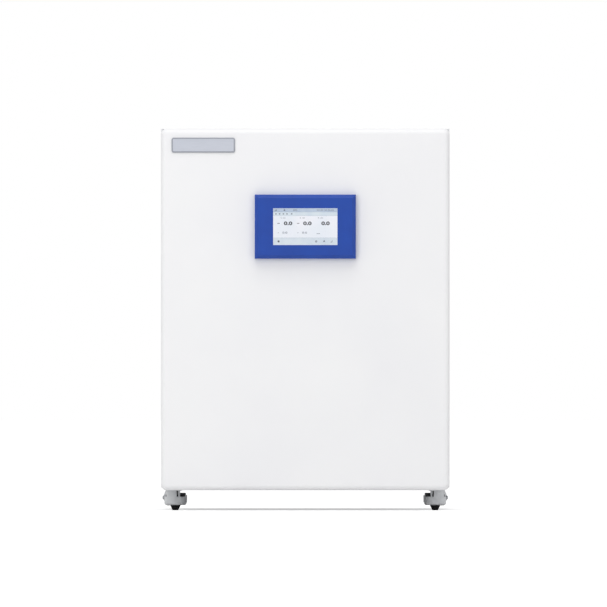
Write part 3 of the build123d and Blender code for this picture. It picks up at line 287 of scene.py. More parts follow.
finishes = {
    "white_paint": powder_coat("white powder coat", tint(244, 244, 245), tint(241, 241, 243)),
    "frame_plastic": moulded("pale grey frame plastic", tint(226, 228, 230), tint(220, 222, 225)),
    "stainless": brushed("brushed stainless steel", tint(214, 214, 215), tint(182, 183, 185), "Z"),
    "zinc_steel": zinc_plated("zinc-plated steel"),
    "insulation": foam_board("insulation board"),
    "heater_film": heating_foil("amber heating film"),
    "seal_rubber": soft_rubber("grey door seal", tint(172, 174, 178), tint(158, 160, 164)),
    "clear_silicone": soft_rubber(
        "milky silicone", tint(226, 229, 230), tint(212, 216, 218), sheen=(0.34, 0.5)
    ),
    "control_blue": moulded(
        "control housing blue", tint(0, 66, 166), tint(0, 60, 156), sheen=(0.4, 0.48), depth=0.00002
    ),
    "touch_glass": window_glass("touch glass", tint(246, 250, 255)),
    "display": moulded("display housing", tint(60, 66, 76), tint(48, 52, 60)),
    "nameplate_metal": brushed(
        "nameplate aluminium", tint(172, 176, 184), tint(146, 150, 159), "X", sheen=(0.3, 0.42)
    ),
    "clear_glass": window_glass("inner door glass", tint(236, 247, 242)),
    "grip_plastic": moulded("dark grip plastic", tint(92, 95, 100), tint(80, 83, 88)),
    "bearing_plastic": moulded("bearing plastic", tint(54, 55, 58), tint(42, 43, 46)),
    "motor_paint": powder_coat("motor paint", tint(62, 63, 67), tint(52, 53, 57)),
    "aluminium": brushed("satin aluminium", tint(212, 214, 217), tint(186, 188, 192), "X"),
    "sensor_steel": brushed(
        "polished sensor steel", tint(222, 223, 225), tint(198, 200, 203), "Y", sheen=(0.14, 0.24)
    ),
    "brass": plain_brass("turned brass"),
    "hose": soft_rubber("gas hose", tint(226, 230, 232), tint(206, 211, 214), sheen=(0.3, 0.42)),
    "circuit_board": printed_board("circuit board"),
    "black_plastic": moulded("black plastic", tint(40, 41, 44), tint(28, 29, 31), sheen=(0.4, 0.55)),
    "port_plastic": moulded("white port plastic", tint(236, 236, 235), tint(226, 227, 226)),
    "caster_metal": cast_alloy("cast caster alloy", tint(222, 224, 226), tint(204, 206, 209)),
    "nylon": moulded("cream nylon", tint(226, 226, 219), tint(212, 212, 203), sheen=(0.3, 0.42)),
    "black_rubber": soft_rubber("black rubber", tint(38, 38, 40), tint(24, 24, 26)),
}
extras = {
    "steel_screw": brushed("bright screw steel", tint(205, 207, 210), tint(160, 162, 167), "X"),
    "dark_screw": brushed("blackened screw", tint(74, 75, 79), tint(48, 49, 53), "X", (0.34, 0.5)),
    "plate_inlay": brushed(
        "pale plate inlay", tint(200, 203, 212), tint(184, 188, 198), "X", sheen=(0.34, 0.46)
    ),
    "screen_field": lit_panel("screen field", tint(236, 239, 245), tint(246, 244, 249), 0.95),
    "screen_header": lit_panel("screen header", tint(176, 191, 212), tint(190, 203, 220), 0.95, 0.02),
    "screen_band": lit_panel("screen band", tint(208, 220, 230), tint(220, 229, 234), 0.95, 0.02),
    "screen_footer": lit_panel("screen footer", tint(208, 217, 226), tint(219, 227, 233), 0.95, 0.02),
    "screen_rule": lit_panel("screen rule", tint(150, 164, 186), tint(160, 173, 192), 0.9, 0.02),
    "screen_ink": lit_panel("screen ink", tint(30, 34, 46), tint(40, 44, 56), 0.9, 0.01),
    "screen_grey": lit_panel("screen grey ink", tint(104, 112, 128), tint(118, 126, 140), 0.9, 0.01),
}

for part in frame["record"]["subparts"]:
    mesh = nodes[part["node"]].data
    mesh.materials.clear()
    mesh.materials.append(finishes[part["material_slot"]])


# Pieces


def fit(name, mesh, body, slot, finish=None):
    """Hang a finished mesh on a body, with the material of a slot or one of the extras."""
    piece = bpy.data.objects.new(name, mesh)
    bpy.context.scene.collection.objects.link(piece)
    mesh.materials.clear()
    mesh.materials.append(extras[finish] if finish else finishes[slot])
    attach(piece, body)
    return piece


def close_mesh(bm, name, smooth=None):
    """Turn a bmesh into a mesh with its faces outwards; edges sharper than `smooth` degrees stay sharp."""
    bmesh.ops.remove_doubles(bm, verts=bm.verts, dist=1e-7)
    bmesh.ops.recalc_face_normals(bm, faces=bm.faces)
    mesh = bpy.data.meshes.new(name)
    if smooth is not None:
        for face in bm.faces:
            face.smooth = True
        for edge in bm.edges:
            edge.smooth = len(edge.link_faces) == 2 and edge.calc_face_angle(0) < math.radians(smooth)
    bm.to_mesh(mesh)
    bm.free()
    return mesh


def turned(name, profile, steps=24, shapes=None, smooth=35):
    """A closed shape turned about Z from (radius, height) pairs; `shapes` bends chosen rings."""
    bm = bmesh.new()
    rings = []
    for index, (radius, height) in enumerate(profile):
        bend = (shapes or {}).get(index)
        ring = []
        for step in range(steps):
            angle = 2 * math.pi * (step + 0.5) / steps
            reach = radius * (bend(angle) if bend else 1.0)
            ring.append(bm.verts.new((reach * math.cos(angle), reach * math.sin(angle), height)))
        rings.append(ring)
    for lower, upper in zip(rings, rings[1:]):
        for step in range(steps):
            after = (step + 1) % steps
            bm.faces.new((lower[step], lower[after], upper[after], upper[step]))
    bm.faces.new(reversed(rings[0]))
    bm.faces.new(rings[-1])
    return close_mesh(bm, name, smooth)


def hexagon(angle):
    """How far a hexagon's edge lies from its centre, against its corner."""
    return math.cos(math.pi / 6) / math.cos((angle % (math.pi / 3)) - math.pi / 6)


def cross(angle):
    """Outline of a cross recess: four arms, narrow between them."""
    from_arm = abs((angle + math.pi / 4) % (math.pi / 2) - math.pi / 4)
    return 1.0 if from_arm < math.radians(14) else 0.42


# Heads of the fasteners, each a unit across its radius, standing on Z = 0
screw_heads = {
    "pan": turned(
        "pan head",
        [(1.0, 0.0), (1.0, 0.18), (0.86, 0.46), (0.6, 0.6), (0.5, 0.62), (0.36, 0.3)],
        shapes={4: cross, 5: cross},
    ),
    "hexagon": turned(
        "hexagon head",
        [(1.22, 0.0), (1.22, 0.1), (1.0, 0.12), (1.0, 0.66), (0.84, 0.76), (0.3, 0.78)],
        shapes={2: hexagon, 3: hexagon},
    ),
    "socket": turned(
        "socket head",
        [(1.0, 0.0), (1.0, 0.86), (0.9, 1.0), (0.56, 1.0), (0.54, 0.5)],
        shapes={3: hexagon, 4: hexagon},
    ),
    "rivet": turned("rivet head", [(1.0, 0.0), (0.94, 0.2), (0.72, 0.42), (0.34, 0.52)]),
}


def pattern_tree():
    """Geometry nodes that set one part on every point, turned as the point says."""
    tree = bpy.data.node_groups.new("set part on points", "GeometryNodeTree")
    face = tree.interface
    face.new_socket("Geometry", in_out="INPUT", socket_type="NodeSocketGeometry")
    face.new_socket("Part", in_out="INPUT", socket_type="NodeSocketObject")
    face.new_socket("Size", in_out="INPUT", socket_type="NodeSocketFloat")
    face.new_socket("Finish", in_out="INPUT", socket_type="NodeSocketMaterial")
    face.new_socket("Geometry", in_out="OUTPUT", socket_type="NodeSocketGeometry")
    start = tree.nodes.new("NodeGroupInput")
    end = tree.nodes.new("NodeGroupOutput")
    part = tree.nodes.new("GeometryNodeObjectInfo")
    turn = tree.nodes.new("GeometryNodeInputNamedAttribute")
    turn.data_type = "FLOAT_VECTOR"
    turn.inputs["Name"].default_value = "turn"
    place = tree.nodes.new("GeometryNodeInstanceOnPoints")
    real = tree.nodes.new("GeometryNodeRealizeInstances")
    dress = tree.nodes.new("GeometryNodeSetMaterial")
    join = tree.links.new
    join(start.outputs["Geometry"], place.inputs["Points"])
    join(start.outputs["Part"], part.inputs["Object"])
    join(part.outputs["Geometry"], place.inputs["Instance"])
    join(turn.outputs["Attribute"], place.inputs["Rotation"])
    join(start.outputs["Size"], place.inputs["Scale"])
    join(place.outputs["Instances"], real.inputs["Geometry"])
    join(real.outputs["Geometry"], dress.inputs["Geometry"])
    join(start.outputs["Finish"], dress.inputs["Material"])
    join(dress.outputs["Geometry"], end.inputs["Geometry"])
    return tree


def coil_tree():
    """Geometry nodes that wind a round wire about Z, as the crest of a thread."""
    tree = bpy.data.node_groups.new("wind a thread", "GeometryNodeTree")
    face = tree.interface
    face.new_socket("Geometry", in_out="INPUT", socket_type="NodeSocketGeometry")
    for size in ("Radius", "Height", "Turns", "Wire"):
        face.new_socket(size, in_out="INPUT", socket_type="NodeSocketFloat")
    face.new_socket("Base", in_out="INPUT", socket_type="NodeSocketVector")
    face.new_socket("Finish", in_out="INPUT", socket_type="NodeSocketMaterial")
    face.new_socket("Geometry", in_out="OUTPUT", socket_type="NodeSocketGeometry")
    start = tree.nodes.new("NodeGroupInput")
    end = tree.nodes.new("NodeGroupOutput")
    spiral = tree.nodes.new("GeometryNodeCurveSpiral")
    spiral.inputs["Resolution"].default_value = 24
    wire = tree.nodes.new("GeometryNodeCurvePrimitiveCircle")
    wire.inputs["Resolution"].default_value = 4
    tube = tree.nodes.new("GeometryNodeCurveToMesh")
    tube.inputs["Fill Caps"].default_value = True
    move = tree.nodes.new("GeometryNodeTransform")
    real = tree.nodes.new("GeometryNodeRealizeInstances")
    dress = tree.nodes.new("GeometryNodeSetMaterial")
    join = tree.links.new
    join(start.outputs["Radius"], spiral.inputs["Start Radius"])
    join(start.outputs["Radius"], spiral.inputs["End Radius"])
    join(start.outputs["Height"], spiral.inputs["Height"])
    join(start.outputs["Turns"], spiral.inputs["Rotations"])
    join(start.outputs["Wire"], wire.inputs["Radius"])
    join(spiral.outputs["Curve"], tube.inputs["Curve"])
    join(wire.outputs["Curve"], tube.inputs["Profile Curve"])
    join(tube.outputs["Mesh"], move.inputs["Geometry"])
    join(start.outputs["Base"], move.inputs["Translation"])
    join(move.outputs["Geometry"], real.inputs["Geometry"])
    join(real.outputs["Geometry"], dress.inputs["Geometry"])
    join(start.outputs["Finish"], dress.inputs["Material"])
    join(dress.outputs["Geometry"], end.inputs["Geometry"])
    return tree


set_on_points = pattern_tree()
wind_thread = coil_tree()


def grow(name, start_mesh, tree, inputs):
    """Run a tree of geometry nodes over a mesh and return the plain mesh it makes."""
    carrier = bpy.data.objects.new(name, start_mesh)
    bpy.context.scene.collection.objects.link(carrier)
    modifier = carrier.modifiers.new("grow", "NODES")
    modifier.node_group = tree
    for socket in tree.interface.items_tree:
        if socket.in_out == "INPUT" and socket.name in inputs:
            modifier[socket.identifier] = inputs[socket.name]
    graph = bpy.context.evaluated_depsgraph_get()
    made = bpy.data.meshes.new_from_object(carrier.evaluated_get(graph))
    made.name = name
    bpy.data.objects.remove(carrier)
    return made


FACING = {
    "-Y": (math.pi / 2, 0, 0),
    "+Y": (-math.pi / 2, 0, 0),
    "-X": (0, -math.pi / 2, 0),
    "+X": (0, math.pi / 2, 0),
    "+Z": (0, 0, 0),
    "-Z": (math.pi, 0, 0),
}


def repeat(name, shape, size, spots, facing, body, slot, finish=None):
    """One shape set at many spots on one body, all facing the same way."""
    points = bpy.data.meshes.new(name + " points")
    points.from_pydata([tuple(spot) for spot in spots], [], [])
    turns = points.attributes.new("turn", "FLOAT_VECTOR", "POINT")
    for index in range(len(spots)):
        turns.data[index].vector = FACING[facing]
    pattern = bpy.data.objects.new(name + " pattern", shape)
    bpy.context.scene.collection.objects.link(pattern)
    material = extras[finish] if finish else finishes[slot]
    made = grow(name, points, set_on_points, {"Part": pattern, "Size": size, "Finish": material})
    bpy.data.objects.remove(pattern)
    return fit(name, made, body, slot, finish)


def slab(name, outline, y, thickness):
    """A thin plate seen from the front: an outline of (x, z) points, standing out to -Y."""
    bm = bmesh.new()
    rear = [bm.verts.new((x, y, z)) for x, z in outline]
    face = [bm.verts.new((x, y - thickness, z)) for x, z in outline]
    bm.faces.new(face)
    bm.faces.new(reversed(rear))
    for index in range(len(outline)):
        after = (index + 1) % len(outline)
        bm.faces.new((rear[index], rear[after], face[after], face[index]))
    return close_mesh(bm, name)


def rounded(x, z, width, height, corner, steps=5):
    """Outline of a rectangle with round corners, about its middle."""
    outline = []
    for quarter, (side, end) in enumerate(((1, 1), (-1, 1), (-1, -1), (1, -1))):
        for step in range(steps + 1):
            angle = math.pi / 2 * (quarter + step / steps)
            outline.append(
                (
                    x + side * (width / 2 - corner) + corner * math.cos(angle),
                    z + end * (height / 2 - corner) + corner * math.sin(angle),
                )
            )
    return outline


def merged(name, meshes):
    """Several meshes joined into one."""
    bm = bmesh.new()
    for mesh in meshes:
        bm.from_mesh(mesh)
    return close_mesh(bm, name)


# The screen's picture, between the touch glass and the display

PICTURE_GAP = 0.04 * MM
PICTURE_Y = DISPLAY_FRONT - PICTURE_GAP
LAYER = 0.05 * MM

# Sizes of the picture's parts, in millimetres
FIELD_WIDTH = 151.4
FIELD_HEIGHT = 86.6
STRIP = 151
BAND_HEIGHT = 8.6
THIN_RULE = 0.35


def on_screen(x_mm, z_mm):
    """A place on the screen, in millimetres from the middle of its window."""
    return x_mm * MM, BEZEL_Z + z_mm * MM


def screen_block(name, x_mm, z_mm, width, height, finish, layer=1, corner=0.0):
    """A coloured field of the picture."""
    x, z = on_screen(x_mm, z_mm)
    if corner:
        outline = rounded(x, z, width * MM, height * MM, corner * MM)
    else:
        across, up = width * MM / 2, height * MM / 2
        outline = [(x - across, z - up), (x + across, z - up), (x + across, z + up), (x - across, z + up)]
    mesh = slab(name, outline, PICTURE_Y - (layer - 1) * LAYER, LAYER)
    return fit(name, mesh, "outer_door", "display", finish)


def figures(name, words, x_mm, z_mm, height, width, finish, weight=0.0):
    """Generic numerals and signs: text fitted to a width and height, centred on a place."""
    layer = 3
    curve = bpy.data.curves.new(name, "FONT")
    curve.body = words
    curve.size = 1.0
    curve.offset = weight
    holder = bpy.data.objects.new(name + " text", curve)
    bpy.context.scene.collection.objects.link(holder)
    graph = bpy.context.evaluated_depsgraph_get()
    mesh = bpy.data.meshes.new_from_object(holder.evaluated_get(graph))
    bpy.data.objects.remove(holder)
    low = Vector([min(vertex.co[axis] for vertex in mesh.vertices) for axis in range(3)])
    high = Vector([max(vertex.co[axis] for vertex in mesh.vertices) for axis in range(3)])
    x, z = on_screen(x_mm, z_mm)
    stretch_x = width * MM / (high.x - low.x)
    stretch_z = height * MM / (high.y - low.y)
    y = PICTURE_Y - layer * LAYER
    for vertex in mesh.vertices:
        across = (vertex.co.x - (low.x + high.x) / 2) * stretch_x
        up = (vertex.co.y - (low.y + high.y) / 2) * stretch_z
        vertex.co = (x + across, y, z + up)
    return fit(name, mesh, "outer_door", "display", finish)


def sign(name, points, x_mm, z_mm, size, finish="screen_grey"):
    """A small pictogram from an outline in units of its own size."""
    x, z = on_screen(x_mm, z_mm)
    outline = [(x + px * size * MM, z + pz * size * MM) for px, pz in points]
    return fit(name, slab(name, outline, PICTURE_Y - LAYER, LAYER), "outer_door", "display", finish)


def toothed_wheel(teeth=8):
    """Outline of a small gear, for the settings sign."""
    outline = []
    for step in range(teeth * 4):
        angle = 2 * math.pi * step / (teeth * 4)
        reach = 0.5 if step % 4 < 2 else 0.36
        outline.append((reach * math.cos(angle), reach * math.sin(angle)))
    return outline


HOUSE = [(-0.38, -0.45), (0.38, -0.45), (0.38, 0.05), (0.52, 0.05), (0.0, 0.55), (-0.52, 0.05), (-0.38, 0.05)]
BELL = [(-0.5, -0.3), (0.5, -0.3), (0.34, -0.1), (0.3, 0.3), (0.0, 0.55), (-0.3, 0.3), (-0.34, -0.1)]
BARS = [
    (-0.5, -0.5),
    (0.5, -0.5),
    (0.5, 0.5),
    (0.24, 0.5),
    (0.24, -0.1),
    (-0.1, -0.1),
    (-0.1, -0.28),
    (-0.5, -0.28),
]


def screen_header():
    """Two bands at the top of the screen, with signs, a number and a clock."""
    header = 38.9
    header_signs = 38.8
    band = 30.0
    screen_block("screen_header", 0, header, STRIP, BAND_HEIGHT, "screen_header", layer=2)
    screen_block("screen_band", 0, band, STRIP, BAND_HEIGHT, "screen_band", layer=2)
    screen_block("screen_header_rule", 0, 34.4, STRIP, 0.5, "screen_rule", layer=3)
    screen_block("screen_band_rule", 0, 25.6, STRIP, THIN_RULE, "screen_rule", layer=3)
    sign("header_sign_left", BARS, -70.2, header_signs, 4.6, "screen_ink")
    sign("header_sign_bell", BELL, -49.2, header_signs, 5.0, "screen_ink")
    figures("header_code", "00", -23.8, header_signs, 4.2, 9.0, "screen_grey", 0.01)
    figures("header_clock", "00-00-00 00:00", 47.2, header, 3.6, 40.0, "screen_grey")
    for index, x in enumerate((-69.0, -60.5, -51.5, -43.0, -32.0)):
        screen_block(f"band_tab_{index}", x, band, 3.6, 2.6, "screen_grey", layer=3, corner=0.6)


def screen_readings():
    """Three columns, each with a unit, a label and a reading; two have a sign and a set value too."""
    units = 20.6
    labels = 20.4
    readings = 7.8
    set_values = -14.2
    set_signs = -14.6
    columns = (("first", -63.0, -40.6, "°C"), ("second", -16.7, 5.0, "%"), ("third", None, 47.7, "%"))
    for name, dash, middle, unit in columns:
        unit_width = 5.2 if unit == "°C" else 3.6
        figures(f"{name}_unit", unit, middle - 16.5, units, 3.0, unit_width, "screen_grey")
        screen_block(f"{name}_label", middle - 9.0, labels, 6.4, 1.1, "screen_grey", layer=3, corner=0.4)
        figures(f"{name}_reading", "0.0", middle, readings, 8.8, 19.8, "screen_ink", 0.045)
        if dash is not None:
            screen_block(f"{name}_minus", dash, readings, 5.4, 1.5, "screen_ink", layer=3)
            screen_block(f"{name}_set_minus", dash - 0.6, set_signs, 3.2, 0.9, "screen_grey", layer=3)
            figures(f"{name}_set", "0.0", dash + 15.0, set_values, 4.6, 11.6, "screen_grey", 0.014)
    screen_block("third_set_dash", 30.6, -16.6, 8.0, 1.1, "screen_grey", layer=3)


def screen_footer():
    """A band with four signs at the foot of the screen."""
    footer = -34.6
    screen_block("screen_footer", 0, footer, STRIP, 16.6, "screen_footer", layer=2)
    screen_block("screen_footer_rule", 0, -26.2, STRIP, THIN_RULE, "screen_rule", layer=3)
    sign("footer_house", HOUSE, -63.0, footer, 5.4, "screen_ink")
    sign("footer_gear", toothed_wheel(), 25.7, footer, 6.0)
    sign("footer_bell", BELL, 44.3, footer, 5.4)
    sign("footer_bars", BARS, 61.5, footer, 4.6)


screen_block("screen_field", 0, 0, FIELD_WIDTH, FIELD_HEIGHT, "screen_field", layer=1)
screen_header()
screen_readings()
screen_footer()


# Nameplate


def nameplate_inlay():
    """A bare inlay in the recess behind the plate's rim."""
    rim = 3.2 * MM
    corner = 1.8 * MM
    recess = 0.7 * MM
    sheet = 0.4 * MM
    low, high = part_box("nameplate")
    outline = rounded(
        (low[0] + high[0]) / 2,
        (low[2] + high[2]) / 2,
        high[0] - low[0] - 2 * rim,
        high[2] - low[2] - 2 * rim,
        corner,
    )
    mesh = slab("nameplate_inlay", outline, low[1] + recess, sheet)
    fit("nameplate_inlay", mesh, "outer_door", "nameplate_metal", "plate_inlay")


nameplate_inlay()


# Fasteners and contacts of the back


def back_panel_screws():
    """A row up each side of the back panel, and a short row along its top and its bottom."""
    screw = 3.6 * MM
    side_inset = 11 * MM
    end_inset = 30 * MM
    top_inset = 9 * MM
    bottom_inset = 10 * MM
    gaps = 5
    low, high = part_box("back_panel")
    pitch = (high[2] - low[2] - 2 * end_inset) / gaps
    spots = [
        (side * (high[0] - side_inset), BACK_PLANE, low[2] + end_inset + step * pitch)
        for side in (-1, 1)
        for step in range(gaps + 1)
    ]
    spots += [
        (x * MM, BACK_PLANE, z)
        for x in (-200, -67, 67, 200)
        for z in (high[2] - top_inset, low[2] + bottom_inset)
    ]
    head = screw_heads["pan"]
    repeat("back_panel_screws", head, screw, spots, "+Y", "cabinet", "zinc_steel", "steel_screw")


def inlet_fittings():
    """Two screws in the mains inlet's flange and three contacts in its socket."""
    screw = 2.4 * MM
    screw_inset = 3.6 * MM
    flange = 3 * MM
    socket_offset = 14 * MM
    contact_radius = 1.3 * MM
    contact_depth = 10.8 * MM
    low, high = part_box("power_inlet")
    level = (low[2] + high[2]) / 2
    spots = [(x, BACK_PLANE + flange, level) for x in (low[0] + screw_inset, high[0] - screw_inset)]
    repeat("inlet_screws", screw_heads["pan"], screw, spots, "+Y", "cabinet", "zinc_steel", "dark_screw")

    middle = (low[0] + high[0]) / 2 - socket_offset
    contact = turned("contact blade", [(1.0, 0.0), (1.0, 6.0), (0.6, 6.4)], steps=12)
    spots = [
        (middle + x * MM, BACK_PLANE - contact_depth, level + z * MM) for x, z in ((-7, -2), (7, -2), (0, 3))
    ]
    repeat("inlet_contacts", contact, contact_radius, spots, "+Y", "cabinet", "brass")


back_panel_screws()
inlet_fittings()


# Fasteners of the door's hinges and of the caster plates


def hinge_screws():
    """Two rivets on the top hinge bracket and two bolts under the low one."""
    rivet = 2.1 * MM
    bolt = 2.6 * MM
    half_pitch = 5.5 * MM
    rivet_inset = 20.5 * MM
    bolt_inset = 7 * MM
    low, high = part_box("door_hinge_brackets")
    middle = (low[0] + high[0]) / 2
    spots = [(middle + dx, high[1] - rivet_inset, high[2]) for dx in (-half_pitch, half_pitch)]
    head = screw_heads["rivet"]
    repeat("top_hinge_screws", head, rivet, spots, "+Z", "cabinet", "zinc_steel", "steel_screw")
    spots = [(middle + dx, high[1] - bolt_inset, low[2]) for dx in (-half_pitch, half_pitch)]
    head = screw_heads["hexagon"]
    repeat("low_hinge_screws", head, bolt, spots, "-Z", "cabinet", "zinc_steel", "steel_screw")


def caster_plate_screws():
    """Four bolts in the holes of each caster plate."""
    bolt = 4.6 * MM
    half_pitch = 18 * MM
    sheet = 3.5 * MM
    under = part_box("caster_plates")[1][2] - sheet
    spots = []
    for corner in CORNERS:
        middle = joints[f"{corner}_swivel"]["pos_m"]
        spots += [
            (middle[0] + dx * half_pitch, middle[1] + dy * half_pitch, under)
            for dx in (-1, 1)
            for dy in (-1, 1)
        ]
    head = screw_heads["hexagon"]
    repeat("caster_plate_screws", head, bolt, spots, "-Z", "cabinet", "zinc_steel", "steel_screw")


joints = {joint["name"]: joint for joint in frame["joints"]}
CORNERS = ("left_front", "right_front", "left_rear", "right_rear")
hinge_screws()
caster_plate_screws()


# Details of the casters


def aligned(mesh, centre, direction):
    """Turn a mesh's Z to a direction and move it to a place, in the mesh itself."""
    turn = Vector((0, 0, 1)).rotation_difference(Vector(direction)).to_matrix().to_4x4()
    mesh.transform(Matrix.Translation(Vector(centre)) @ turn)
    return mesh


def axle_nuts(corner, axle, along):
    """A nut on each end of a caster's axle."""
    nut_radius = 4.7 * MM
    cheek_outside = 13.8 * MM
    nuts = []
    for side in (-1, 1):
        nut = screw_heads["hexagon"].copy()
        nut.transform(Matrix.Scale(nut_radius, 4))
        nuts.append(aligned(nut, axle + side * along * cheek_outside, side * along))
    fit(f"{corner}_axle_nuts", merged("axle nuts", nuts), f"{corner}_caster", "zinc_steel", "steel_screw")


def wheel_hub(corner, axle, along):
    """A thin metal ring round the bore on each side of a wheel."""
    wheel_side = 8.85 * MM
    bore = 3.4 * MM
    rim = 6.4 * MM
    bevel = 0.4 * MM
    height = 0.8 * MM
    profile = [(bore, 0), (rim, 0), (rim, height - bevel), (rim - bevel, height), (bore, height)]
    rings = []
    for side in (-1, 1):
        ring = turned("hub ring", profile, steps=32)
        rings.append(aligned(ring, axle + side * along * wheel_side, side * along))
    fit(f"{corner}_wheel_hub", merged("wheel hub", rings), f"{corner}_wheel", "caster_metal")


def stem_thread(corner, stem):
    """The crest of the thread on a foot's stem, just proud of it so that it passes the dial's bore."""
    thread_foot = 13.8 * MM
    sizes = {
        "Radius": 3.64 * MM,
        "Height": 17 * MM,
        "Turns": 9.7,
        "Wire": 0.4 * MM,
        "Base": (stem[0], stem[1], thread_foot),
        "Finish": extras["steel_screw"],
    }
    thread = grow(f"{corner}_stem_thread", bpy.data.meshes.new("thread start"), wind_thread, sizes)
    fit(f"{corner}_stem_thread", thread, f"{corner}_foot", "zinc_steel", "steel_screw")


for corner in CORNERS:
    roll = joints[f"{corner}_roll"]
    roll_centre = Vector(roll["pos_m"])
    roll_axis = Vector(roll["axis"]).normalized()
    axle_nuts(corner, roll_centre, roll_axis)
    wheel_hub(corner, roll_centre, roll_axis)
    stem_thread(corner, joints[f"{corner}_dial_turn"]["pos_m"])


# Inner door and chamber


def latch_details():
    """The pivot screw of the inner door's latch and the ridges of its grip."""
    screw = 3 * MM
    screw_seat = 0.9 * MM
    ridge_radius = 0.9 * MM
    ridge_pitch = 3.2 * MM
    ridge_start = 24 * MM
    rows = 5
    pivot = joints["latch_turn"]["pos_m"]
    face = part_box("latch_handle")[0][1]
    spots = [(pivot[0], face + screw_seat, pivot[2])]
    repeat("latch_pivot_screw", screw_heads["socket"], screw, spots, "-Y", "latch", "aluminium", "dark_screw")

    ridge = turned("grip ridge", [(1.0, 0.0), (1.0, 0.3), (0.7, 0.7), (0.3, 0.8)], steps=12)
    spots = [
        (pivot[0] + x * MM, face + 0.1 * MM, pivot[2] - ridge_start - ridge_pitch * row)
        for row in range(rows)
        for x in (-3, 0, 3)
    ]
    repeat("latch_grip_ridges", ridge, ridge_radius, spots, "-Y", "latch", "aluminium", "dark_screw")


def inner_hinge_screws():
    """Two screws in each hinge leaf of the inner door's trim."""
    screw = 3 * MM
    leaf_inset = 20 * MM
    screw_inset = 26 * MM
    leaf_depth = 4.8 * MM
    half_pitch = 8 * MM
    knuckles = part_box("inner_hinge_brackets")
    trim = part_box("inner_door_trim")
    spots = [
        (trim[0][0] + screw_inset, trim[0][1] + leaf_depth, level + dz)
        for level in (knuckles[0][2] + leaf_inset, knuckles[1][2] - leaf_inset)
        for dz in (-half_pitch, half_pitch)
    ]
    head = screw_heads["pan"]
    repeat("inner_hinge_screws", head, screw, spots, "-Y", "inner_door", "stainless", "steel_screw")


def rack_studs():
    """Four studs that hold each shelf rack to the chamber's wall."""
    stud = 3.6 * MM
    post_inset = 50 * MM
    end_inset = 6 * MM
    post_sheet = 5 * MM
    low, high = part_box("shelf_racks")
    for side, name, facing in ((-1, "left", "+X"), (1, "right", "-X")):
        spots = [
            (side * (high[0] - post_sheet), y, z)
            for y in (low[1] + post_inset, high[1] - post_inset)
            for z in (low[2] + end_inset, high[2] - end_inset)
        ]
        head = screw_heads["hexagon"]
        repeat(f"{name}_rack_studs", head, stud, spots, facing, "cabinet", "stainless", "steel_screw")


def duct_screws():
    """Three screws down each side of the air duct's cover."""
    screw = 3.4 * MM
    inset = 20 * MM
    low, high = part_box("duct_panel")
    spots = [
        (side * (high[0] - inset), low[1], z)
        for side in (-1, 1)
        for z in (low[2] + inset, (low[2] + high[2]) / 2, high[2] - inset)
    ]
    repeat("duct_screws", screw_heads["pan"], screw, spots, "-Y", "cabinet", "stainless", "steel_screw")


latch_details()
inner_hinge_screws()
rack_studs()
duct_screws()


# Outer door's inner side


def liner_screws():
    """Screws around the door's liner, outside the seal; the grip's side has none beside the cup."""
    screw = 3 * MM
    inset = 12 * MM
    cup_from = 360 * MM
    cup_to = 680 * MM
    low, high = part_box("door_liner")
    spots = [
        (side * (high[0] - inset), high[1], z * MM)
        for side in (-1, 1)
        for z in (100, 250, 400, 660, 780, 860)
        if not (side > 0 and cup_from < z * MM < cup_to)
    ]
    spots += [(x * MM, high[1], z) for x in (-220, 0, 220) for z in (low[2] + inset, high[2] - inset)]
    repeat("liner_screws", screw_heads["pan"], screw, spots, "+Y", "outer_door", "zinc_steel", "steel_screw")


def grip_ribs():
    """Ribs in the finger recess at the door's edge."""
    rib_radius = 1.1 * MM
    side_inset = 2.2 * MM
    depth = 13.5 * MM
    foot = 18 * MM
    pitch = 18.8 * MM
    count = 11
    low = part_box("grip_cup")[0]
    rib = turned("grip rib", [(1.0, 0.0), (1.0, 8.0), (0.6, 8.6)], steps=12)
    spots = [(low[0] + side_inset, low[1] + depth, low[2] + foot + step * pitch) for step in range(count)]
    repeat("grip_ribs", rib, rib_radius, spots, "+Y", "outer_door", "grip_plastic")


liner_screws()
grip_ribs()


# Stage, camera and light

FLOOR_HALF = 45
FLOOR_GLOW = 0.5
PAPER_WHITE = 0.86
ROOM_LIGHT = 0.68


def lamp(name, place, aim, width, height, watts):
    """A softbox that looks at a point."""
    data = bpy.data.lights.new(name, "AREA")
    data.shape = "RECTANGLE"
    data.size = width
    data.size_y = height
    data.energy = watts
    box = bpy.data.objects.new(name, data)
    bpy.context.scene.collection.objects.link(box)
    box.location = place
    box.rotation_euler = (Vector(aim) - Vector(place)).to_track_quat("-Z", "Y").to_euler()


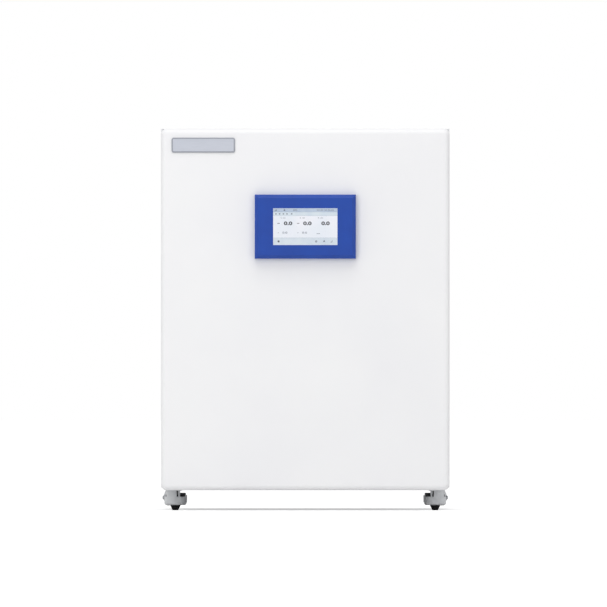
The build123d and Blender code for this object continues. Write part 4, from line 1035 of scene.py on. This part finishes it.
def pale_floor():
    """A wide white sheet under the object; the camera sees it near white, and shadows stay on it."""
    bm = bmesh.new()
    bmesh.ops.create_grid(bm, x_segments=1, y_segments=1, size=FLOOR_HALF)
    mesh = bpy.data.meshes.new("floor")
    bm.to_mesh(mesh)
    bm.free()
    floor = bpy.data.objects.new("floor", mesh)
    bpy.context.scene.collection.objects.link(floor)
    paper = bpy.data.materials.new("floor paper")
    paper.use_nodes = True
    tree = paper.node_tree
    shader = tree.nodes["Principled BSDF"]
    shader.inputs["Base Color"].default_value = (PAPER_WHITE, PAPER_WHITE, PAPER_WHITE, 1)
    shader.inputs["Roughness"].default_value = 0.9
    shader.inputs["Specular IOR Level"].default_value = 0.0
    path = tree.nodes.new("ShaderNodeLightPath")
    glow = tree.nodes.new("ShaderNodeMath")
    glow.operation = "MULTIPLY"
    glow.inputs[1].default_value = FLOOR_GLOW
    tree.links.new(path.outputs["Is Camera Ray"], glow.inputs[0])
    shader.inputs["Emission Color"].default_value = (1, 1, 1, 1)
    tree.links.new(glow.outputs["Value"], shader.inputs["Emission Strength"])
    mesh.materials.append(paper)


def white_room():
    """A white surround: 1 to the eye and to mirrors, less as light."""
    world = bpy.data.worlds.new("white room")
    bpy.context.scene.world = world
    world.use_nodes = True
    tree = world.node_tree
    ground = tree.nodes["Background"]
    ground.inputs["Color"].default_value = (1, 1, 1, 1)
    path = tree.nodes.new("ShaderNodeLightPath")
    seen = None
    for ray in ("Is Camera Ray", "Is Glossy Ray", "Is Transmission Ray"):
        if seen is None:
            seen = path.outputs[ray]
            continue
        either = tree.nodes.new("ShaderNodeMath")
        either.operation = "MAXIMUM"
        tree.links.new(seen, either.inputs[0])
        tree.links.new(path.outputs[ray], either.inputs[1])
        seen = either.outputs["Value"]
    spread = tree.nodes.new("ShaderNodeMapRange")
    spread.inputs["To Min"].default_value = ROOM_LIGHT
    spread.inputs["To Max"].default_value = 1.0
    tree.links.new(seen, spread.inputs["Value"])
    tree.links.new(spread.outputs["Result"], ground.inputs["Strength"])


pale_floor()
white_room()
lamp("overhead softbox", (-0.1, -2.2, 4.0), (0, -0.36, 0.5), 2.6, 2.0, 42)
lamp("front softbox", (-2.4, -6.0, 2.6), (0, 0, 0.45), 3.0, 3.0, 64)

SENSOR_WIDTH = 36
FAR_END = 400
camera_data = bpy.data.cameras.new("photo camera")
camera = bpy.data.objects.new("photo camera", camera_data)
bpy.context.scene.collection.objects.link(camera)
camera.location = (PHOTO_CENTRE_X, -CAMERA_DISTANCE, PHOTO_CENTRE_Z)
camera.rotation_euler = (math.pi / 2, 0, 0)
camera_data.sensor_width = SENSOR_WIDTH
camera_data.lens = SENSOR_WIDTH * (CAMERA_DISTANCE + DOOR_FRONT) / PHOTO_SPAN
camera_data.clip_end = FAR_END
bpy.context.scene.camera = camera
bpy.context.scene.view_settings.view_transform = "Standard"
